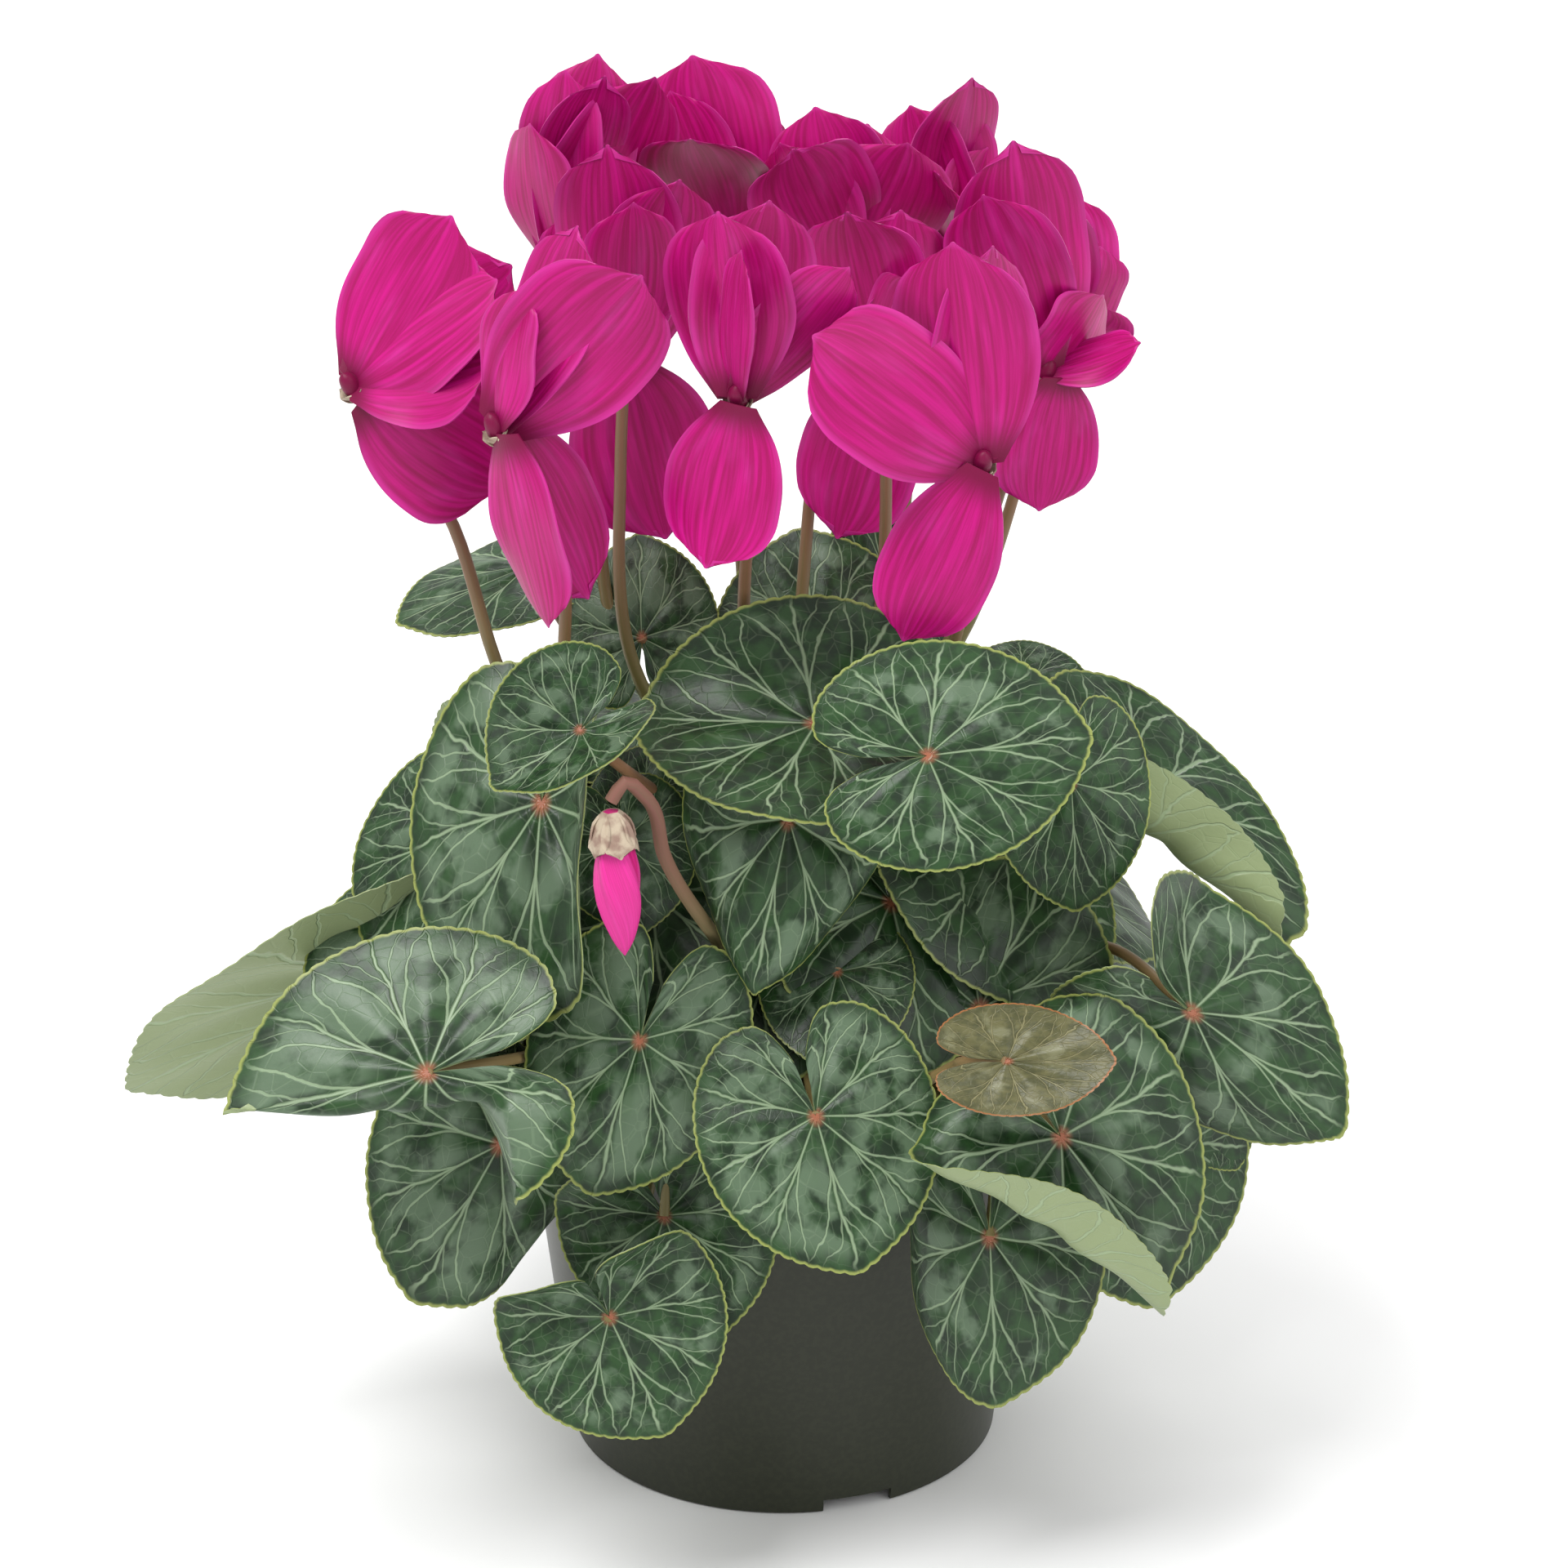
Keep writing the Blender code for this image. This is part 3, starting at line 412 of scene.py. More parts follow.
def smooth_route(points, count):
    """Points spread evenly along a smooth curve through the route's own points."""
    points = np.asarray(points, float)
    steps = np.linalg.norm(np.diff(points, axis=0), axis=1)
    run = np.append(0, np.cumsum(steps))
    at = np.linspace(0, run[-1], count)
    return np.stack([eased(at, run, points[:, k]) for k in range(3)], axis=1)


def spread_out(azimuths, least):
    """The azimuths, moved apart until neighbours are at least that many degrees from each other."""
    order = np.argsort(azimuths)
    turned = np.asarray(azimuths, float)[order]
    for _ in range(60):
        gaps = np.diff(np.append(turned, turned[0] + 360))
        push = np.maximum(least - gaps, 0) / 2
        turned += np.roll(push, 1) - push
    result = np.empty_like(turned)
    result[order] = turned
    return result


def bend(points, direction, distance, angle, radius, fade=None):
    """Rolls what lies beyond a crease line around a cylinder. A negative angle rolls it down.

    With fade, the angle goes to nothing between those two places along the crease.
    """
    a = math.radians(direction)
    across_crease = np.array((math.cos(a), math.sin(a), 0.0))
    along_crease = np.array((-math.sin(a), math.cos(a), 0.0))
    beyond = points @ across_crease - distance
    side = math.copysign(1.0, angle)
    height = points[:, 2] * side
    full = np.full(len(points), math.radians(abs(angle)))
    if fade:
        full = full * np.clip((fade[1] - points @ along_crease) / (fade[1] - fade[0]), 0.0001, 1)
    turn = np.clip(beyond / radius, 0, full)
    rest = np.maximum(beyond - radius * full, 0)
    moved = (radius - height) * np.sin(turn) + rest * np.cos(turn)
    lifted = radius - (radius - height) * np.cos(turn) + rest * np.sin(turn)
    bent = points + np.outer(np.where(beyond > 0, moved - beyond, 0), across_crease)
    bent[:, 2] = np.where(beyond > 0, lifted, height) * side
    return bent


def bend_all(points, bends, size):
    for direction, distance, angle, radius, *fade in bends:
        ends = (fade[0] * size, fade[1] * size) if fade else None
        points = bend(points, direction, distance * size, angle, radius * size, ends)
    return points


def inner_radius(height):
    """The pot's inner wall at that height."""
    outer = POT_FOOT_RADIUS + (POT_TOP_RADIUS - RIM_BAND_DEPTH - POT_FOOT_RADIUS) * height / POT_HEIGHT
    return outer - POT_WALL


def tuber_profile(grown):
    """The tuber's outline, grown outwards by that much."""
    bottom = TUBER_TOP - TUBER_HEIGHT
    return (
        (0, TUBER_TOP + grown),
        (TUBER_CROWN_RADIUS, TUBER_TOP + grown),
        (TUBER_RADIUS - 0.6 + grown, TUBER_TOP - 3),
        (TUBER_RADIUS + grown, SOIL_TOP - 2),
        (TUBER_RADIUS - 4 + grown, bottom + 8 - grown),
        (TUBER_RADIUS - 13 + grown, bottom + 2 - grown),
        (0, bottom - grown),
    )


def seat_ring(leaf):
    return next(number for number, (limit, _) in enumerate(LEAF_SEAT_RINGS) if leaf[1][2] < limit)


def leaf_seats():
    """Where each petiole stands on the tuber: low leaves on the outer rings, high ones inside."""
    seats = {}
    for number, (_, radius) in enumerate(LEAF_SEAT_RINGS):
        ring = [leaf for leaf in LEAVES if seat_ring(leaf) == number]
        least = math.degrees(LEAF_SEAT_SPACING / radius)
        azimuths = spread_out([azimuth_of(leaf[1]) for leaf in ring], least)
        for leaf, azimuth in zip(ring, azimuths):
            seats[leaf[0]] = on_circle(azimuth, radius, TUBER_TOP + STEM_CLEARANCE)
    return seats


def petiole_points(leaf, seat, count):
    """A petiole rises from its seat, and meets its blade from behind."""
    root = np.asarray(leaf[1], float)
    if leaf[0] in PETIOLE_ROUTES:
        start = [seat, seat + np.array((0, 0, PETIOLE_UPRIGHT))]
        return smooth_route([*start, *PETIOLE_ROUTES[leaf[0]], root], ROUTED_PETIOLE_POINTS)
    out = sheet_frame(*leaf[1:4])[2]
    reach = np.linalg.norm(root - seat)
    back = unit(np.subtract(CROWN_HUB, root))
    back = unit(back - max(np.dot(back, out), 0) * out - 0.45 * out)
    rise = seat + np.array((0, 0, PETIOLE_RISE * reach))
    return bezier((seat, rise, root + PETIOLE_REACH * reach * back, root), count)


def flower_seats():
    """Scapes stand inside the leaves, the outward-leaning ones on the outer ring."""
    ranked = sorted(FLOWERS, key=lambda flower: math.hypot(flower[1][0], flower[1][1]))
    seats = {}
    inner = 4
    for radius, ring in zip(FLOWER_SEAT_RINGS, (ranked[:inner], ranked[inner:])):
        least = math.degrees(LEAF_SEAT_SPACING / radius)
        azimuths = spread_out([azimuth_of(flower[1]) for flower in ring], least)
        for flower, azimuth in zip(ring, azimuths):
            seats[flower[0]] = on_circle(azimuth, radius, TUBER_TOP + STEM_CLEARANCE)
    return seats

# --- shapes as points and faces ---


def inside(points):
    """Points in millimetres, kept within the CAD's own box."""
    return np.clip(points, LOW + BOX_MARGIN, HIGH - BOX_MARGIN)


class Shape:
    """Gathers closed surfaces into one piece. Each vertex carries two vectors for the materials."""

    def __init__(self):
        self.points, self.faces, self.places, self.flats, self.slots = [], [], [], [], []
        self.count = 0

    def add(self, points, faces, places, flats=None, slot=0):
        flats = np.zeros_like(points) if flats is None else flats
        self.points.append(points)
        self.places.append(places)
        self.flats.append(flats)
        self.faces += [tuple(corner + self.count for corner in face) for face in faces]
        self.slots += [slot] * len(faces)
        self.count += len(points)

    def piece(self, name, materials, crease=40.0):
        mesh = bpy.data.meshes.new(name)
        mesh.from_pydata((inside(np.concatenate(self.points)) * MM).tolist(), [], self.faces)
        for label, rows in (("place", self.places), ("flat", self.flats)):
            layer = mesh.attributes.new(label, "FLOAT_VECTOR", "POINT")
            layer.data.foreach_set("vector", np.concatenate(rows).astype(np.float32).ravel())
        mesh.polygons.foreach_set("material_index", self.slots)
        for material in materials:
            mesh.materials.append(material)
        shape = bmesh.new()
        shape.from_mesh(mesh)
        bmesh.ops.remove_doubles(shape, verts=shape.verts, dist=0.002 * MM)
        shape.to_mesh(mesh)
        shape.free()
        mesh.shade_smooth()
        mesh.set_sharp_from_angle(angle=math.radians(crease))
        obj = bpy.data.objects.new(name, mesh)
        bpy.context.scene.collection.objects.link(obj)
        return obj


def grid_faces(rows, columns, closed=False):
    """Quads of a grid of rows by columns points. Closed joins the last column to the first."""
    faces = []
    for i in range(rows - 1):
        for j in range(columns if closed else columns - 1):
            here, beyond = i * columns, (i + 1) * columns
            following = (j + 1) % columns
            faces.append((here + j, here + following, beyond + following, beyond + j))
    return faces


def thin_sheet(where, columns, rows, thickness):
    """A closed thin body laid along where(u, v): its points, faces, and (u, v, side) at each point.

    The side is 1 on the face that looks the way of sheet_frame's last row, and 0 on the other.
    """
    u, v = (a.ravel() for a in np.meshgrid(np.linspace(0, 1, columns), np.linspace(0, 1, rows)))
    middle = where(u, v).reshape(rows, columns, 3)
    normal = np.cross(np.gradient(middle, axis=1), np.gradient(middle, axis=0))
    normal /= np.maximum(np.linalg.norm(normal, axis=2, keepdims=True), 1e-9)
    normal[0] = unit(normal[1:3].mean(axis=(0, 1)))
    offset = normal * (thickness / 2) * (1 - 0.6 * v.reshape(rows, columns, 1) ** 6)
    points = np.concatenate(((middle + offset).reshape(-1, 3), (middle - offset).reshape(-1, 3)))
    total = rows * columns
    top = grid_faces(rows, columns)
    faces = top + [tuple(corner + total for corner in face[::-1]) for face in top]
    loop = [*range(columns), *(i * columns + columns - 1 for i in range(1, rows))]
    loop += [(rows - 1) * columns + j for j in range(columns - 2, -1, -1)]
    loop += [i * columns for i in range(rows - 2, 0, -1)]
    faces += [(a + total, b + total, b, a) for a, b in zip(loop, loop[1:] + loop[:1])]
    side = np.repeat((0.0, 1.0), total)
    return points, faces, np.stack((np.tile(u, 2), np.tile(v, 2), side), axis=1)


def round_rod(route, radii, sides=12):
    """A closed rod along a route, with (turn, run, 0) at each point."""
    route = np.asarray(route, float)
    radii = np.broadcast_to(radii, len(route))
    ahead = np.gradient(route, axis=0)
    ahead /= np.linalg.norm(ahead, axis=1, keepdims=True)
    across = np.cross(ahead[0], (0.31, 0.87, 0.38))
    turns = np.linspace(0, 2 * math.pi, sides, endpoint=False)
    rings = []
    for centre, direction, radius in zip(route, ahead, radii):
        across = unit(across - np.dot(across, direction) * direction)
        other = np.cross(direction, across)
        rings.append(centre + radius * (np.outer(np.cos(turns), across) + np.outer(np.sin(turns), other)))
    count = len(route)
    faces = grid_faces(count, sides, closed=True)
    faces += [tuple(range(sides))[::-1], tuple((count - 1) * sides + j for j in range(sides))]
    run = np.repeat(np.linspace(0, 1, count), sides)
    turn = np.tile(turns, count) / (2 * math.pi)
    return np.concatenate(rings), faces, np.stack((turn, run, 0 * run), axis=1)


# --- materials ---


class Look:
    """A Principled material and short ways to feed it."""

    def __init__(self, name, roughness, **constants):
        self.material = bpy.data.materials.new(name)
        self.material.use_nodes = True
        self.tree = self.material.node_tree
        self.shader = self.tree.nodes["Principled BSDF"]
        self.shader.inputs["Roughness"].default_value = roughness
        for label, value in constants.items():
            self.shader.inputs[label.replace("_", " ")].default_value = value

    def feed(self, socket, value):
        if isinstance(value, bpy.types.NodeSocket):
            self.tree.links.new(value, socket)
        elif isinstance(value, tuple) and len(value) == 3 and socket.type == "RGBA":
            socket.default_value = (*value, 1.0)
        else:
            socket.default_value = value

    def node(self, kind, *values, **settings):
        made = self.tree.nodes.new("ShaderNode" + kind)
        for label, value in settings.items():
            setattr(made, label, value)
        for socket, value in zip(made.inputs, values):
            self.feed(socket, value)
        return made

    def math(self, operation, *values):
        return self.node("Math", *values, operation=operation).outputs[0]

    def vector(self, x, y, z):
        return self.node("CombineXYZ", x, y, z).outputs[0]

    def split(self, vector):
        return self.node("SeparateXYZ", vector).outputs

    def stored(self, label):
        return self.node("Attribute", attribute_name=label).outputs["Vector"]

    def where(self):
        return self.node("TexCoord").outputs["Object"]

    def noise(self, vector, scale, detail=3.0):
        made = self.node("TexNoise")
        for label, value in (("Vector", vector), ("Scale", scale), ("Detail", detail)):
            self.feed(made.inputs[label], value)
        return made.outputs[0]

    def cells(self, vector, scale):
        made = self.node("TexVoronoi", feature="DISTANCE_TO_EDGE")
        for label, value in (("Vector", vector), ("Scale", scale)):
            self.feed(made.inputs[label], value)
        return made.outputs[0]

    def rise(self, value, low, high):
        """0 below low and 1 above high, smooth between them."""
        made = self.node("MapRange", value, low, high, 0.0, 1.0, interpolation_type="SMOOTHSTEP")
        return made.outputs[0]

    def fall(self, value, low, high):
        return self.math("SUBTRACT", 1.0, self.rise(value, low, high))

    def times(self, *values):
        result = values[0]
        for value in values[1:]:
            result = self.math("MULTIPLY", result, value)
        return result

    def most(self, *values):
        result = values[0]
        for value in values[1:]:
            result = self.math("MAXIMUM", result, value)
        return result

    def mix(self, share, first, second):
        made = self.node("Mix", data_type="RGBA")
        self.feed(made.inputs[0], share)
        self.feed(made.inputs[6], first)
        self.feed(made.inputs[7], second)
        return made.outputs[2]

    def colour(self, value):
        self.feed(self.shader.inputs["Base Color"], value)

    def relief(self, height, depth):
        """Bumps of that depth in millimetres."""
        made = self.node("Bump")
        for label, value in (("Height", height), ("Distance", depth * MM), ("Strength", 1.0)):
            self.feed(made.inputs[label], value)
        self.feed(self.shader.inputs["Normal"], made.outputs[0])


def leaf_look(name, silvering, dark, green, silver, vein, margin, under):
    """Marbled leaf: forking veins in polar leaf coordinates, silver between them, and a pale margin."""
    look = Look(name, 0.38, Specular_IOR_Level=0.36, Sheen_Weight=0.02)
    turn, out, side = look.split(look.stored("place"))
    flat = look.stored("flat")
    drift = look.times(look.math("SUBTRACT", look.noise(flat, 3.0), 0.5), 0.45, out)
    signed = look.math("ADD", look.math("MULTIPLY", look.math("SUBTRACT", turn, 0.5), VEINS), drift)
    between = look.math("SUBTRACT", look.math("FRACT", look.math("ADD", signed, 0.5)), 0.5)
    off = look.math("ABSOLUTE", between)
    span = look.times(out, 2 * math.radians(OUTLINE_ANGLES[-1]) / VEINS)
    gap = look.times(off, span)

    def fork(start, slope, width):
        """The two side veins that leave each vein at start, and spread from it at that slope."""
        lead = look.times(look.math("SUBTRACT", out, start), slope)
        distance = look.times(look.math("ABSOLUTE", look.math("SUBTRACT", off, lead)), span)
        line = look.fall(distance, width * 0.4, width)
        return look.times(line, look.rise(out, start - 0.02, start + 0.02))

    main = look.fall(gap, 0.004, 0.017)
    forks = look.most(fork(0.30, 0.75, 0.012), look.times(fork(0.6, 0.8, 0.009), 0.8))
    net = look.times(look.fall(look.cells(flat, 8.0), 0.0, 0.05), 0.14)
    veins = look.most(main, look.times(forks, 0.85), net)
    blotch = look.rise(look.noise(flat, 3.4, 4.0), 0.56 - silvering, 0.70 - silvering)
    zone = look.times(look.rise(out, 0.16, 0.4), look.fall(out, 0.80, 0.97), look.rise(gap, 0.005, 0.05))
    ground = look.mix(look.rise(look.noise(flat, 7.0), 0.35, 0.65), dark, green)
    upper = look.mix(look.times(blotch, zone, 0.85), ground, silver)
    upper = look.mix(look.times(veins, look.fall(out, 0.85, 1.0), 0.62), upper, vein)
    upper = look.mix(look.rise(out, 0.965, 0.99), upper, margin)
    upper = look.mix(look.fall(out, 0.02, 0.09), upper, LEAF_CENTRE)
    lower = look.mix(look.times(veins, 0.5), under, vein)
    look.colour(look.mix(side, lower, upper))
    look.relief(look.math("SUBTRACT", look.times(look.noise(flat, 26.0, 2.0), 0.25), veins), 0.22)
    return look.material


def stem_look(name, low, high, heights, roughness=0.45):
    """A stem whose colour changes between two heights, with faint lengthwise streaks."""
    look = Look(name, roughness)
    height = look.split(look.where())[2]
    share = look.rise(height, heights[0] * MM, heights[1] * MM)
    turn, run, _ = look.split(look.stored("place"))
    streak = look.noise(look.vector(look.times(turn, 14.0), look.times(run, 5.0), 0.0), 1.0)
    colour = look.mix(share, low, high)
    dim = tuple(0.6 * part for part in low)
    look.colour(look.mix(look.times(look.rise(streak, 0.4, 0.7), 0.35), colour, dim))
    return look.material


def petal_look(name, deep, bright, lilac_and_sheen, base):
    """Lengthwise veins, paler lilac patches at random, a painted sheen of lilac along the edges and the
    tip, and a dark base.
    """
    look = Look(name, 0.42, Sheen_Weight=0.02, Specular_IOR_Level=0.22)
    turn, out, _ = look.split(look.stored("place"))
    number = look.split(look.stored("flat"))[2]
    fine = look.vector(look.times(turn, 26.0), look.times(out, 1.6), look.times(number, 5.0))
    lines = look.noise(fine, 1.0, 4.0)
    wide = look.vector(look.times(turn, 5.0), look.times(out, 2.0), look.times(number, 3.0))
    broad = look.noise(wide, 1.0)
    colour = look.mix(look.rise(lines, 0.30, 0.75), deep, bright)
    # paler lilac patches at random, in the same colour that serves for the painted sheen
    colour = look.mix(look.times(look.rise(broad, 0.5, 0.8), 0.22), colour, lilac_and_sheen)
    # painted sheen: the petal's edges and tip are lightened towards lilac, where light catches them
    edge = look.math("ABSOLUTE", look.math("SUBTRACT", turn, 0.5))
    sheen_border = look.most(look.rise(edge, 0.42, 0.5), look.rise(out, 0.96, 1.0))
    colour = look.mix(look.times(sheen_border, 0.30), colour, lilac_and_sheen)
    colour = look.mix(look.fall(out, 0.03, 0.22), colour, base)
    look.colour(colour)
    look.relief(lines, 0.06)
    return look.material


def speckled_look(name, first, second, scale, depth, roughness):
    """Two colours in fine grains, raised by that depth."""
    look = Look(name, roughness, Specular_IOR_Level=0.35)
    grain = look.noise(look.where(), scale, 5.0)
    look.colour(look.mix(look.rise(grain, 0.4, 0.65), first, second))
    look.relief(grain, depth)
    return look.material


# --- pieces ---


def blade_points(u, v, leaf, seed):
    """Where a leaf's surface goes, with its teeth, its ripples and the hollows along its veins."""
    _, root, tip, facing, width, cup, bends = leaf
    size = np.linalg.norm(np.subtract(tip, root))
    last = OUTLINE_ANGLES[-1]
    angle = (2 * u - 1) * last
    teeth = 1 - TOOTH_DEPTH * np.abs(np.cos(TEETH * math.pi * u)) * v**16
    reach = v * eased(np.abs(angle), OUTLINE_ANGLES, OUTLINE_RADII) * teeth * size
    turn = np.radians(angle)
    across_veins = np.cos(2 * math.pi * VEINS * (u - 0.5))
    hollows = -HOLLOW_DEPTH * across_veins * np.sin(math.pi * np.minimum(v * 1.05, 1))
    ripple = 0.018 * np.sin(3.1 * turn + 1.7 * seed) * v**2 + 0.010 * np.sin(7.3 * turn + seed) * v**4
    depth = cup * reach**2 / size + size * (hollows + ripple)
    flat = np.stack((reach * np.cos(turn), reach * np.sin(turn) * width, depth), axis=1)
    return np.asarray(root) + bend_all(flat, bends, size) @ sheet_frame(root, tip, facing)


def flat_marks(places, seed):
    """Leaf-plane coordinates in parts of the leaf's length, moved apart from leaf to leaf."""
    angle = np.radians((2 * places[:, 0] - 1) * OUTLINE_ANGLES[-1])
    out = places[:, 1]
    return np.stack((out * np.cos(angle), out * np.sin(angle), np.full(len(places), 3.7 * seed)), axis=1)


def make_leaf(leaf, seat, seed, materials):
    shape = Shape()
    points, faces, places = thin_sheet(
        lambda u, v: blade_points(u, v, leaf, seed), LEAF_COLUMNS, LEAF_ROWS, LEAF_THICKNESS
    )
    shape.add(points, faces, places, flat_marks(places, seed))
    route = petiole_points(leaf, seat, PETIOLE_LOOK_POINTS)
    radii = np.linspace(PETIOLE_RADIUS, PETIOLE_RADIUS * 0.75, len(route))
    shape.add(*round_rod(route, radii), slot=1)
    return shape.piece("look_leaf_" + leaf[0], materials)


def petal_points(u, v, mouth, petal, number):
    """Where a petal's surface goes: gently twisted, with a rippled edge."""
    start, tip, facing, width = petal
    root = np.add(mouth, start)
    size = np.linalg.norm(np.subtract(tip, root))
    side = 2 * u - 1
    half = width * PETAL_FULLNESS / 2 * eased(v, PETAL_LOOK_SHARES, PETAL_LOOK_WIDTHS)
    length = size * v * (1 - 0.06 * side**2 * v**3)
    twist = 0.34 * math.sin(2.4 * number) * side * half * v
    ripple = 0.10 * half * np.abs(side) ** 2 * np.sin(8 * v + 2.1 * number) - PETAL_CUP * side**2 * half
    bow = 0.05 * size * np.sin(math.pi * v) * math.cos(1.9 * number)
    flat = np.stack((length, side * half, twist + ripple + bow), axis=1)
    return root + flat @ sheet_frame(root, tip, facing)


def egg(centre, axis, width, length, rings=10):
    """A closed egg along an axis."""
    runs = np.linspace(-1, 1, rings)
    route = np.asarray(centre, float) + np.outer(runs * length, axis)
    return round_rod(route, width * np.sqrt(np.maximum(1 - runs**2, 0.01)), 16)


def make_flower(flower, materials):
    """Five petals around a short tube, with a calyx where the stem meets it."""
    number, mouth, route, petals = flower
    shape = Shape()
    arriving = unit(np.subtract(mouth, route[-1]))
    for k, petal in enumerate(petals, 1):
        seed = k + 5 * int(number)
        points, faces, places = thin_sheet(
            lambda u, v, petal=petal, seed=seed: petal_points(u, v, mouth, petal, seed),
            PETAL_LOOK_COLUMNS, PETAL_LOOK_ROWS, PETAL_LOOK_THICKNESS,
        )
        shape.add(points, faces, places, np.tile((0.0, 0.0, float(seed)), (len(points), 1)))
    points, faces, places = egg(mouth, arriving, FLOWER_TUBE_RADIUS * 0.5, FLOWER_TUBE_RADIUS * 0.9)
    shape.add(points, faces, places * (1, 0, 1))
    base = np.asarray(mouth) - FLOWER_TUBE_RADIUS * 0.95 * arriving
    for k in range(SEPALS):
        sideways = unit(np.cross(arriving, on_circle(20 + 360 / SEPALS * k, 1.0, 0.31)))
        tip = base + 4.2 * arriving + 3.4 * sideways
        sepal = ((0, 0, 0), tuple(tip), (azimuth_of(sideways), 10), 3.6)
        points, faces, places = thin_sheet(
            lambda u, v, sepal=sepal: petal_points(u, v, tuple(base), sepal, 0), 6, 8, SEPAL_THICKNESS
        )
        shape.add(points, faces, places, slot=1)
    return shape.piece("look_flower_" + number, materials)


def make_scape(flower, seat, material):
    number, mouth, route, _ = flower
    arriving = unit(np.subtract(mouth, route[-1]))
    end = np.asarray(mouth) - FLOWER_TUBE_RADIUS * 0.9 * arriving
    start = [seat, seat + np.array((0, 0, STEM_UPRIGHT))]
    line = smooth_route([*start, *route, end], SCAPE_LOOK_POINTS)
    shape = Shape()
    shape.add(*round_rod(line, np.linspace(SCAPE_RADIUS, SCAPE_RADIUS * 0.8, len(line))))
    return shape.piece("look_flower_stem_" + number, [material])


def make_bud(materials):
    """Five petals furled into a spiral, under a calyx of five lobes."""
    down = unit(np.subtract(BUD_TIP, BUD_CALYX))
    runs = np.linspace(0, 1, 40)
    turns = np.linspace(0, 2 * math.pi, 40, endpoint=False)
    profile = eased(runs, BUD_SHARES, BUD_RADII)
    across = unit(np.cross(down, (0, 1, 0.2)))
    other = np.cross(down, across)
    rows = []
    for run, share in zip(runs, profile):
        furls = np.sin(BUD_PETALS * turns + BUD_SPIRAL * run)
        ridge = 0.94 + 0.09 * furls * math.sin(math.pi * run)
        ring = np.outer(np.cos(turns) * ridge, across) + np.outer(np.sin(turns) * ridge, other)
        rows.append(np.asarray(BUD_CALYX) + BUD_LOOK_LENGTH * run * down + BUD_RADIUS * share * ring)
    count, sides = len(runs), len(turns)
    faces = grid_faces(count, sides, closed=True)
    faces += [tuple(range(sides))[::-1], tuple((count - 1) * sides + j for j in range(sides))]
    run = np.repeat(runs, sides)
    spiral = (BUD_PETALS * np.tile(turns, count) + BUD_SPIRAL * run) / (2 * math.pi)
    shape = Shape()
    shape.add(np.concatenate(rows), faces, np.stack((spiral, run, 0 * run), axis=1))
    for k in range(SEPALS):
        angle = 2 * math.pi * k / SEPALS
        sideways = math.cos(angle) * across + math.sin(angle) * other
        base = np.asarray(BUD_CALYX) + 1.5 * sideways
        tip = np.asarray(BUD_CALYX) + 5.2 * sideways + 9.5 * down
        facing = (azimuth_of(sideways), math.degrees(math.asin(sideways[2])))
        sepal = ((0, 0, 0), tuple(tip), facing, 6.4)
        points, faces, places = thin_sheet(
            lambda u, v, base=base, sepal=sepal: petal_points(u, v, tuple(base), sepal, 0), 8, 8, 0.5
        )
        shape.add(points, faces, places, slot=1)
    return shape.piece("look_bud", materials)


def make_bud_stem(material):
    seat = on_circle(*BUD_SEAT, TUBER_TOP + STEM_CLEARANCE)
    start = [seat, seat + np.array((0, 0, STEM_UPRIGHT))]
    line = smooth_route([*start, *BUD_ROUTE], BUD_STEM_LOOK_POINTS)
    shape = Shape()
    shape.add(*round_rod(line, np.linspace(SCAPE_RADIUS, SCAPE_RADIUS * 0.9, len(line))))
    return shape.piece("look_bud_stem", [material])


def turned(name, profile, steps, material, crease=35.0, grain=0.0):
    """A closed solid of revolution. The profile runs outwards and down, from the axis to the axis."""
    turns = np.linspace(0, 2 * math.pi, steps, endpoint=False)
    profile = np.asarray(profile, float)
    radii = np.maximum(profile[:, 0], 1e-6)
    heights = np.outer(profile[:, 1], np.ones(steps))
    points = np.stack((np.outer(radii, np.cos(turns)), np.outer(radii, np.sin(turns)), heights), axis=2)
    if grain:
        noise = np.random.default_rng(4).normal(0, grain, points.shape[:2])
        points[1:-1, :, 2] += noise[1:-1]
    rows = len(profile)
    faces = [face[::-1] for face in grid_faces(rows, steps, closed=True)]
    shape = Shape()
    shape.add(points.reshape(-1, 3), faces, np.zeros((rows * steps, 3)))
    return shape.piece(name, [material], crease)


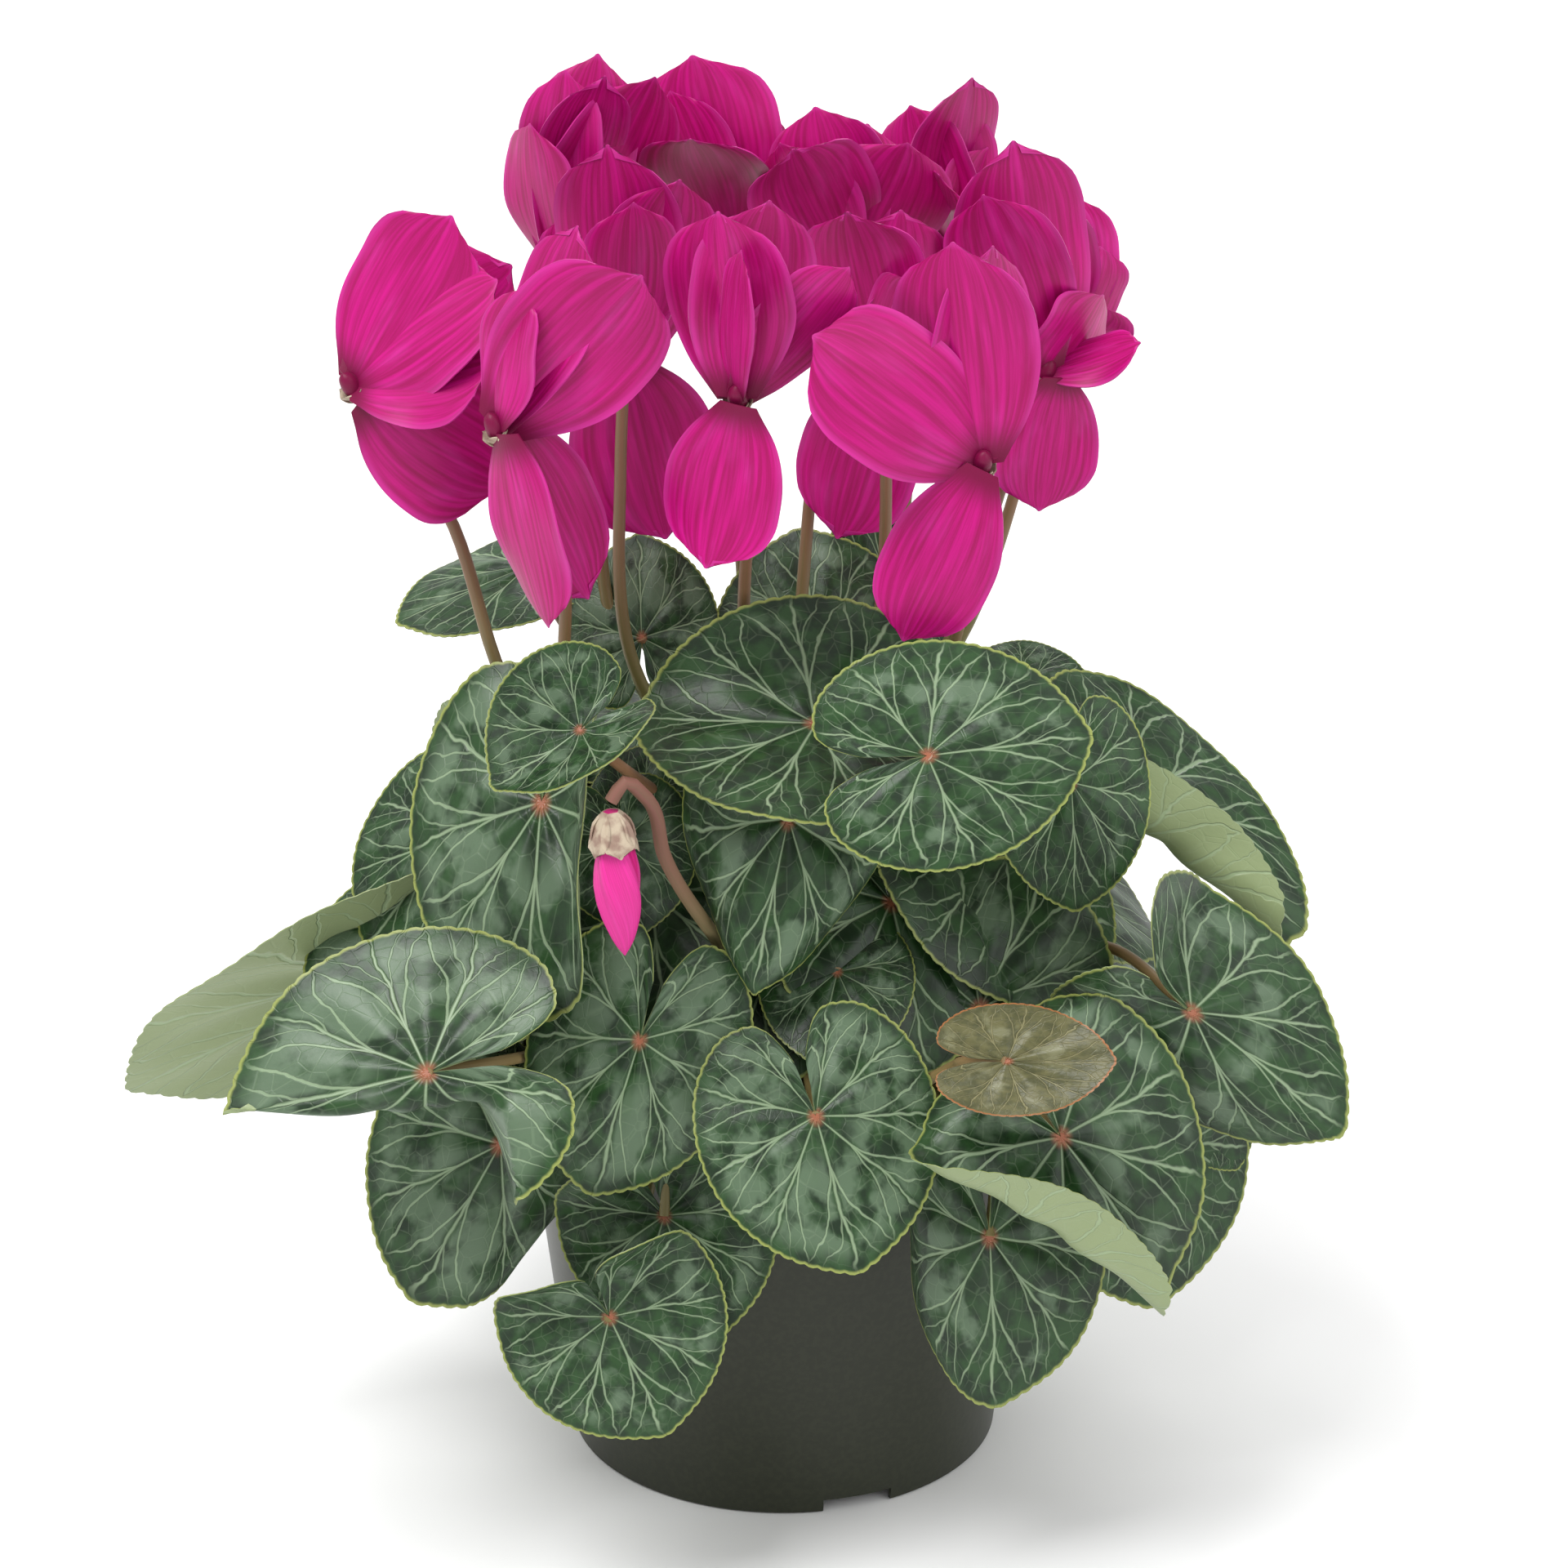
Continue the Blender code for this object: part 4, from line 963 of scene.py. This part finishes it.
def pot_piece(material):
    floor = POT_FLOOR_HEIGHT
    band_foot = POT_HEIGHT - RIM_BAND_HEIGHT
    wall_at_band = inner_radius(band_foot) + POT_WALL
    profile = (
        (0, floor + POT_WALL),
        (inner_radius(floor + POT_WALL), floor + POT_WALL),
        (inner_radius(POT_HEIGHT), POT_HEIGHT - 0.4),
        (inner_radius(POT_HEIGHT) + 0.3, POT_HEIGHT),
        (POT_TOP_RADIUS - 0.6, POT_HEIGHT),
        (POT_TOP_RADIUS - 0.1, POT_HEIGHT - 0.6),
        (POT_TOP_RADIUS - 0.2, band_foot + 0.5),
        (POT_TOP_RADIUS - 0.6, band_foot),
        (wall_at_band + 0.3, band_foot - 0.3),
        (wall_at_band, band_foot - 1.0),
        (POT_FOOT_RADIUS + 0.1, 0.5),
        (POT_FOOT_RADIUS - 0.4, 0),
        (inner_radius(0), 0),
        (inner_radius(floor), floor),
        (0, floor),
    )
    pot = turned("look_pot", profile, POT_STEPS, material)
    for azimuth in NOTCH_AZIMUTHS:
        bpy.ops.mesh.primitive_cube_add(size=1.0, location=on_circle(azimuth, POT_FOOT_RADIUS, 0) * MM)
        cutter = bpy.context.object
        cutter.name = f"notch_{azimuth:.0f}"
        cutter.scale = (NOTCH_WIDTH * MM, 12 * MM, 2 * NOTCH_HEIGHT * MM)
        cutter.rotation_euler.z = math.radians(azimuth)
        cut = pot.modifiers.new(cutter.name, "BOOLEAN")
        cut.operation, cut.solver, cut.object = "DIFFERENCE", "EXACT", cutter
        bpy.context.view_layer.objects.active = pot
        bpy.ops.object.modifier_apply(modifier=cut.name)
        bpy.data.objects.remove(cutter, do_unlink=True)
    return pot


def soil_piece(material):
    foot = POT_FLOOR_HEIGHT + POT_WALL + GAP
    outer = inner_radius(SOIL_TOP) - GAP
    pocket = [p for p in tuber_profile(GAP + 0.3) if p[1] < SOIL_TOP][::-1]
    tops = [(radius, SOIL_TOP - 0.5) for radius in np.linspace(TUBER_RADIUS + 2 * GAP, outer, SOIL_RINGS)]
    profile = (*pocket, *tops, (inner_radius(foot) - GAP, foot), (0, foot))
    return turned("look_soil", profile, SOIL_STEPS, material, crease=80, grain=SOIL_GRAIN)


def show(piece, node=None):
    """Puts a piece under the root body and hides the CAD part it stands in for. One with no node is a leaf
    that the CAD leaves out.
    """
    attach(piece, "root")
    if node:
        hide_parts(node)


def build_plant():
    marbled = leaf_look("leaf_marbled", 0.06, **LEAF_COLOURS)
    silvery = leaf_look("leaf_silvery", 0.16, **LEAF_COLOURS)
    plain = leaf_look("leaf_plain", -0.06, **LEAF_COLOURS)
    young = leaf_look("leaf_young", 0.02, **YOUNG_COLOURS)
    petiole = stem_look("petiole_skin", (0.21, 0.17, 0.06), (0.24, 0.12, 0.06), (95, 190))
    scape = stem_look("scape_skin", (0.17, 0.20, 0.06), (0.20, 0.085, 0.045), (150, 250))
    fuzzy = stem_look("bud_stem_skin", (0.17, 0.17, 0.06), (0.19, 0.075, 0.055), (130, 200), 0.7)
    petal = petal_look("petal", **PETAL_COLOURS)
    furled = petal_look("bud_petal", **FURLED_COLOURS)
    calyx = speckled_look("calyx", (0.26, 0.17, 0.13), (0.46, 0.38, 0.28), 300.0, 0.05, 0.6)
    plastic = speckled_look("pot_plastic", (0.018, 0.021, 0.011), (0.023, 0.026, 0.014), 700.0, 0.02, 0.40)
    peat = speckled_look("peat", (0.012, 0.008, 0.005), (0.075, 0.045, 0.026), 420.0, 0.8, 0.95)
    cork = speckled_look("tuber_skin", (0.07, 0.038, 0.020), (0.16, 0.095, 0.055), 260.0, 0.5, 0.9)

    show(pot_piece(plastic), "pot")
    show(soil_piece(peat), "soil")
    show(turned("look_tuber", tuber_profile(0), TUBER_STEPS, cork, crease=60), "tuber")

    def skin(name):
        return silvery if name in SILVERY else plain if name in PLAIN else marbled

    seats = leaf_seats()
    for seed, leaf in enumerate(LEAVES):
        name = leaf[0]
        piece = make_leaf(leaf, seats[name], seed, (young if name == "young" else skin(name), petiole))
        show(piece, "leaf_" + name)
    for seed, leaf in enumerate(MORE_LEAVES, len(LEAVES)):
        seat = on_circle(azimuth_of(leaf[1]), MORE_LEAVES_SEAT_RADIUS, TUBER_TOP + STEM_CLEARANCE)
        show(make_leaf(leaf, seat, seed, (skin(leaf[0]), petiole)))
    seats = flower_seats()
    for flower in FLOWERS:
        show(make_flower(flower, (petal, calyx)), "flower_" + flower[0])
        show(make_scape(flower, seats[flower[0]], scape), "flower_stem_" + flower[0])
    show(make_bud((furled, calyx)), "bud")
    show(make_bud_stem(fuzzy), "bud_stem")


# --- studio ---


def plain_material(name, colour, roughness):
    look = Look(name, roughness)
    look.colour(colour)
    return look.material


def area_light(name, place, size, power):
    data = bpy.data.lights.new(name, "AREA")
    data.shape = "DISK"
    data.size = size
    data.energy = power
    lamp = bpy.data.objects.new(name, data)
    lamp.location = place
    aim = Vector(TARGET) - Vector(place)
    lamp.rotation_euler = aim.to_track_quat("-Z", "Y").to_euler()
    bpy.context.scene.collection.objects.link(lamp)


def build_studio():
    scene = bpy.context.scene
    bpy.ops.mesh.primitive_plane_add(size=12.0, location=(0, 3.0, 0))
    floor = bpy.context.object
    floor.name = "floor"
    floor.data.materials.append(plain_material("floor", (0.86, 0.86, 0.86), 0.9))
    world = bpy.data.worlds.new("studio")
    world.use_nodes = True
    background = world.node_tree.nodes["Background"]
    background.inputs["Color"].default_value = (1.0, 1.0, 1.0, 1.0)
    background.inputs["Strength"].default_value = WORLD_STRENGTH
    scene.world = world
    scene.view_settings.view_transform = "Standard"
    for light in LIGHTS:
        area_light(*light)
    data = bpy.data.cameras.new("camera")
    data.lens = CAMERA_LENS
    data.sensor_width = SENSOR_WIDTH
    camera = bpy.data.objects.new("camera", data)
    back = CAMERA_DISTANCE * np.array((0, -math.cos(CAMERA_TILT), math.sin(CAMERA_TILT)))
    camera.location = np.array(TARGET) + back
    camera.rotation_euler = (math.pi / 2 - CAMERA_TILT, 0, 0)
    scene.collection.objects.link(camera)
    scene.camera = camera


build_plant()
build_studio()
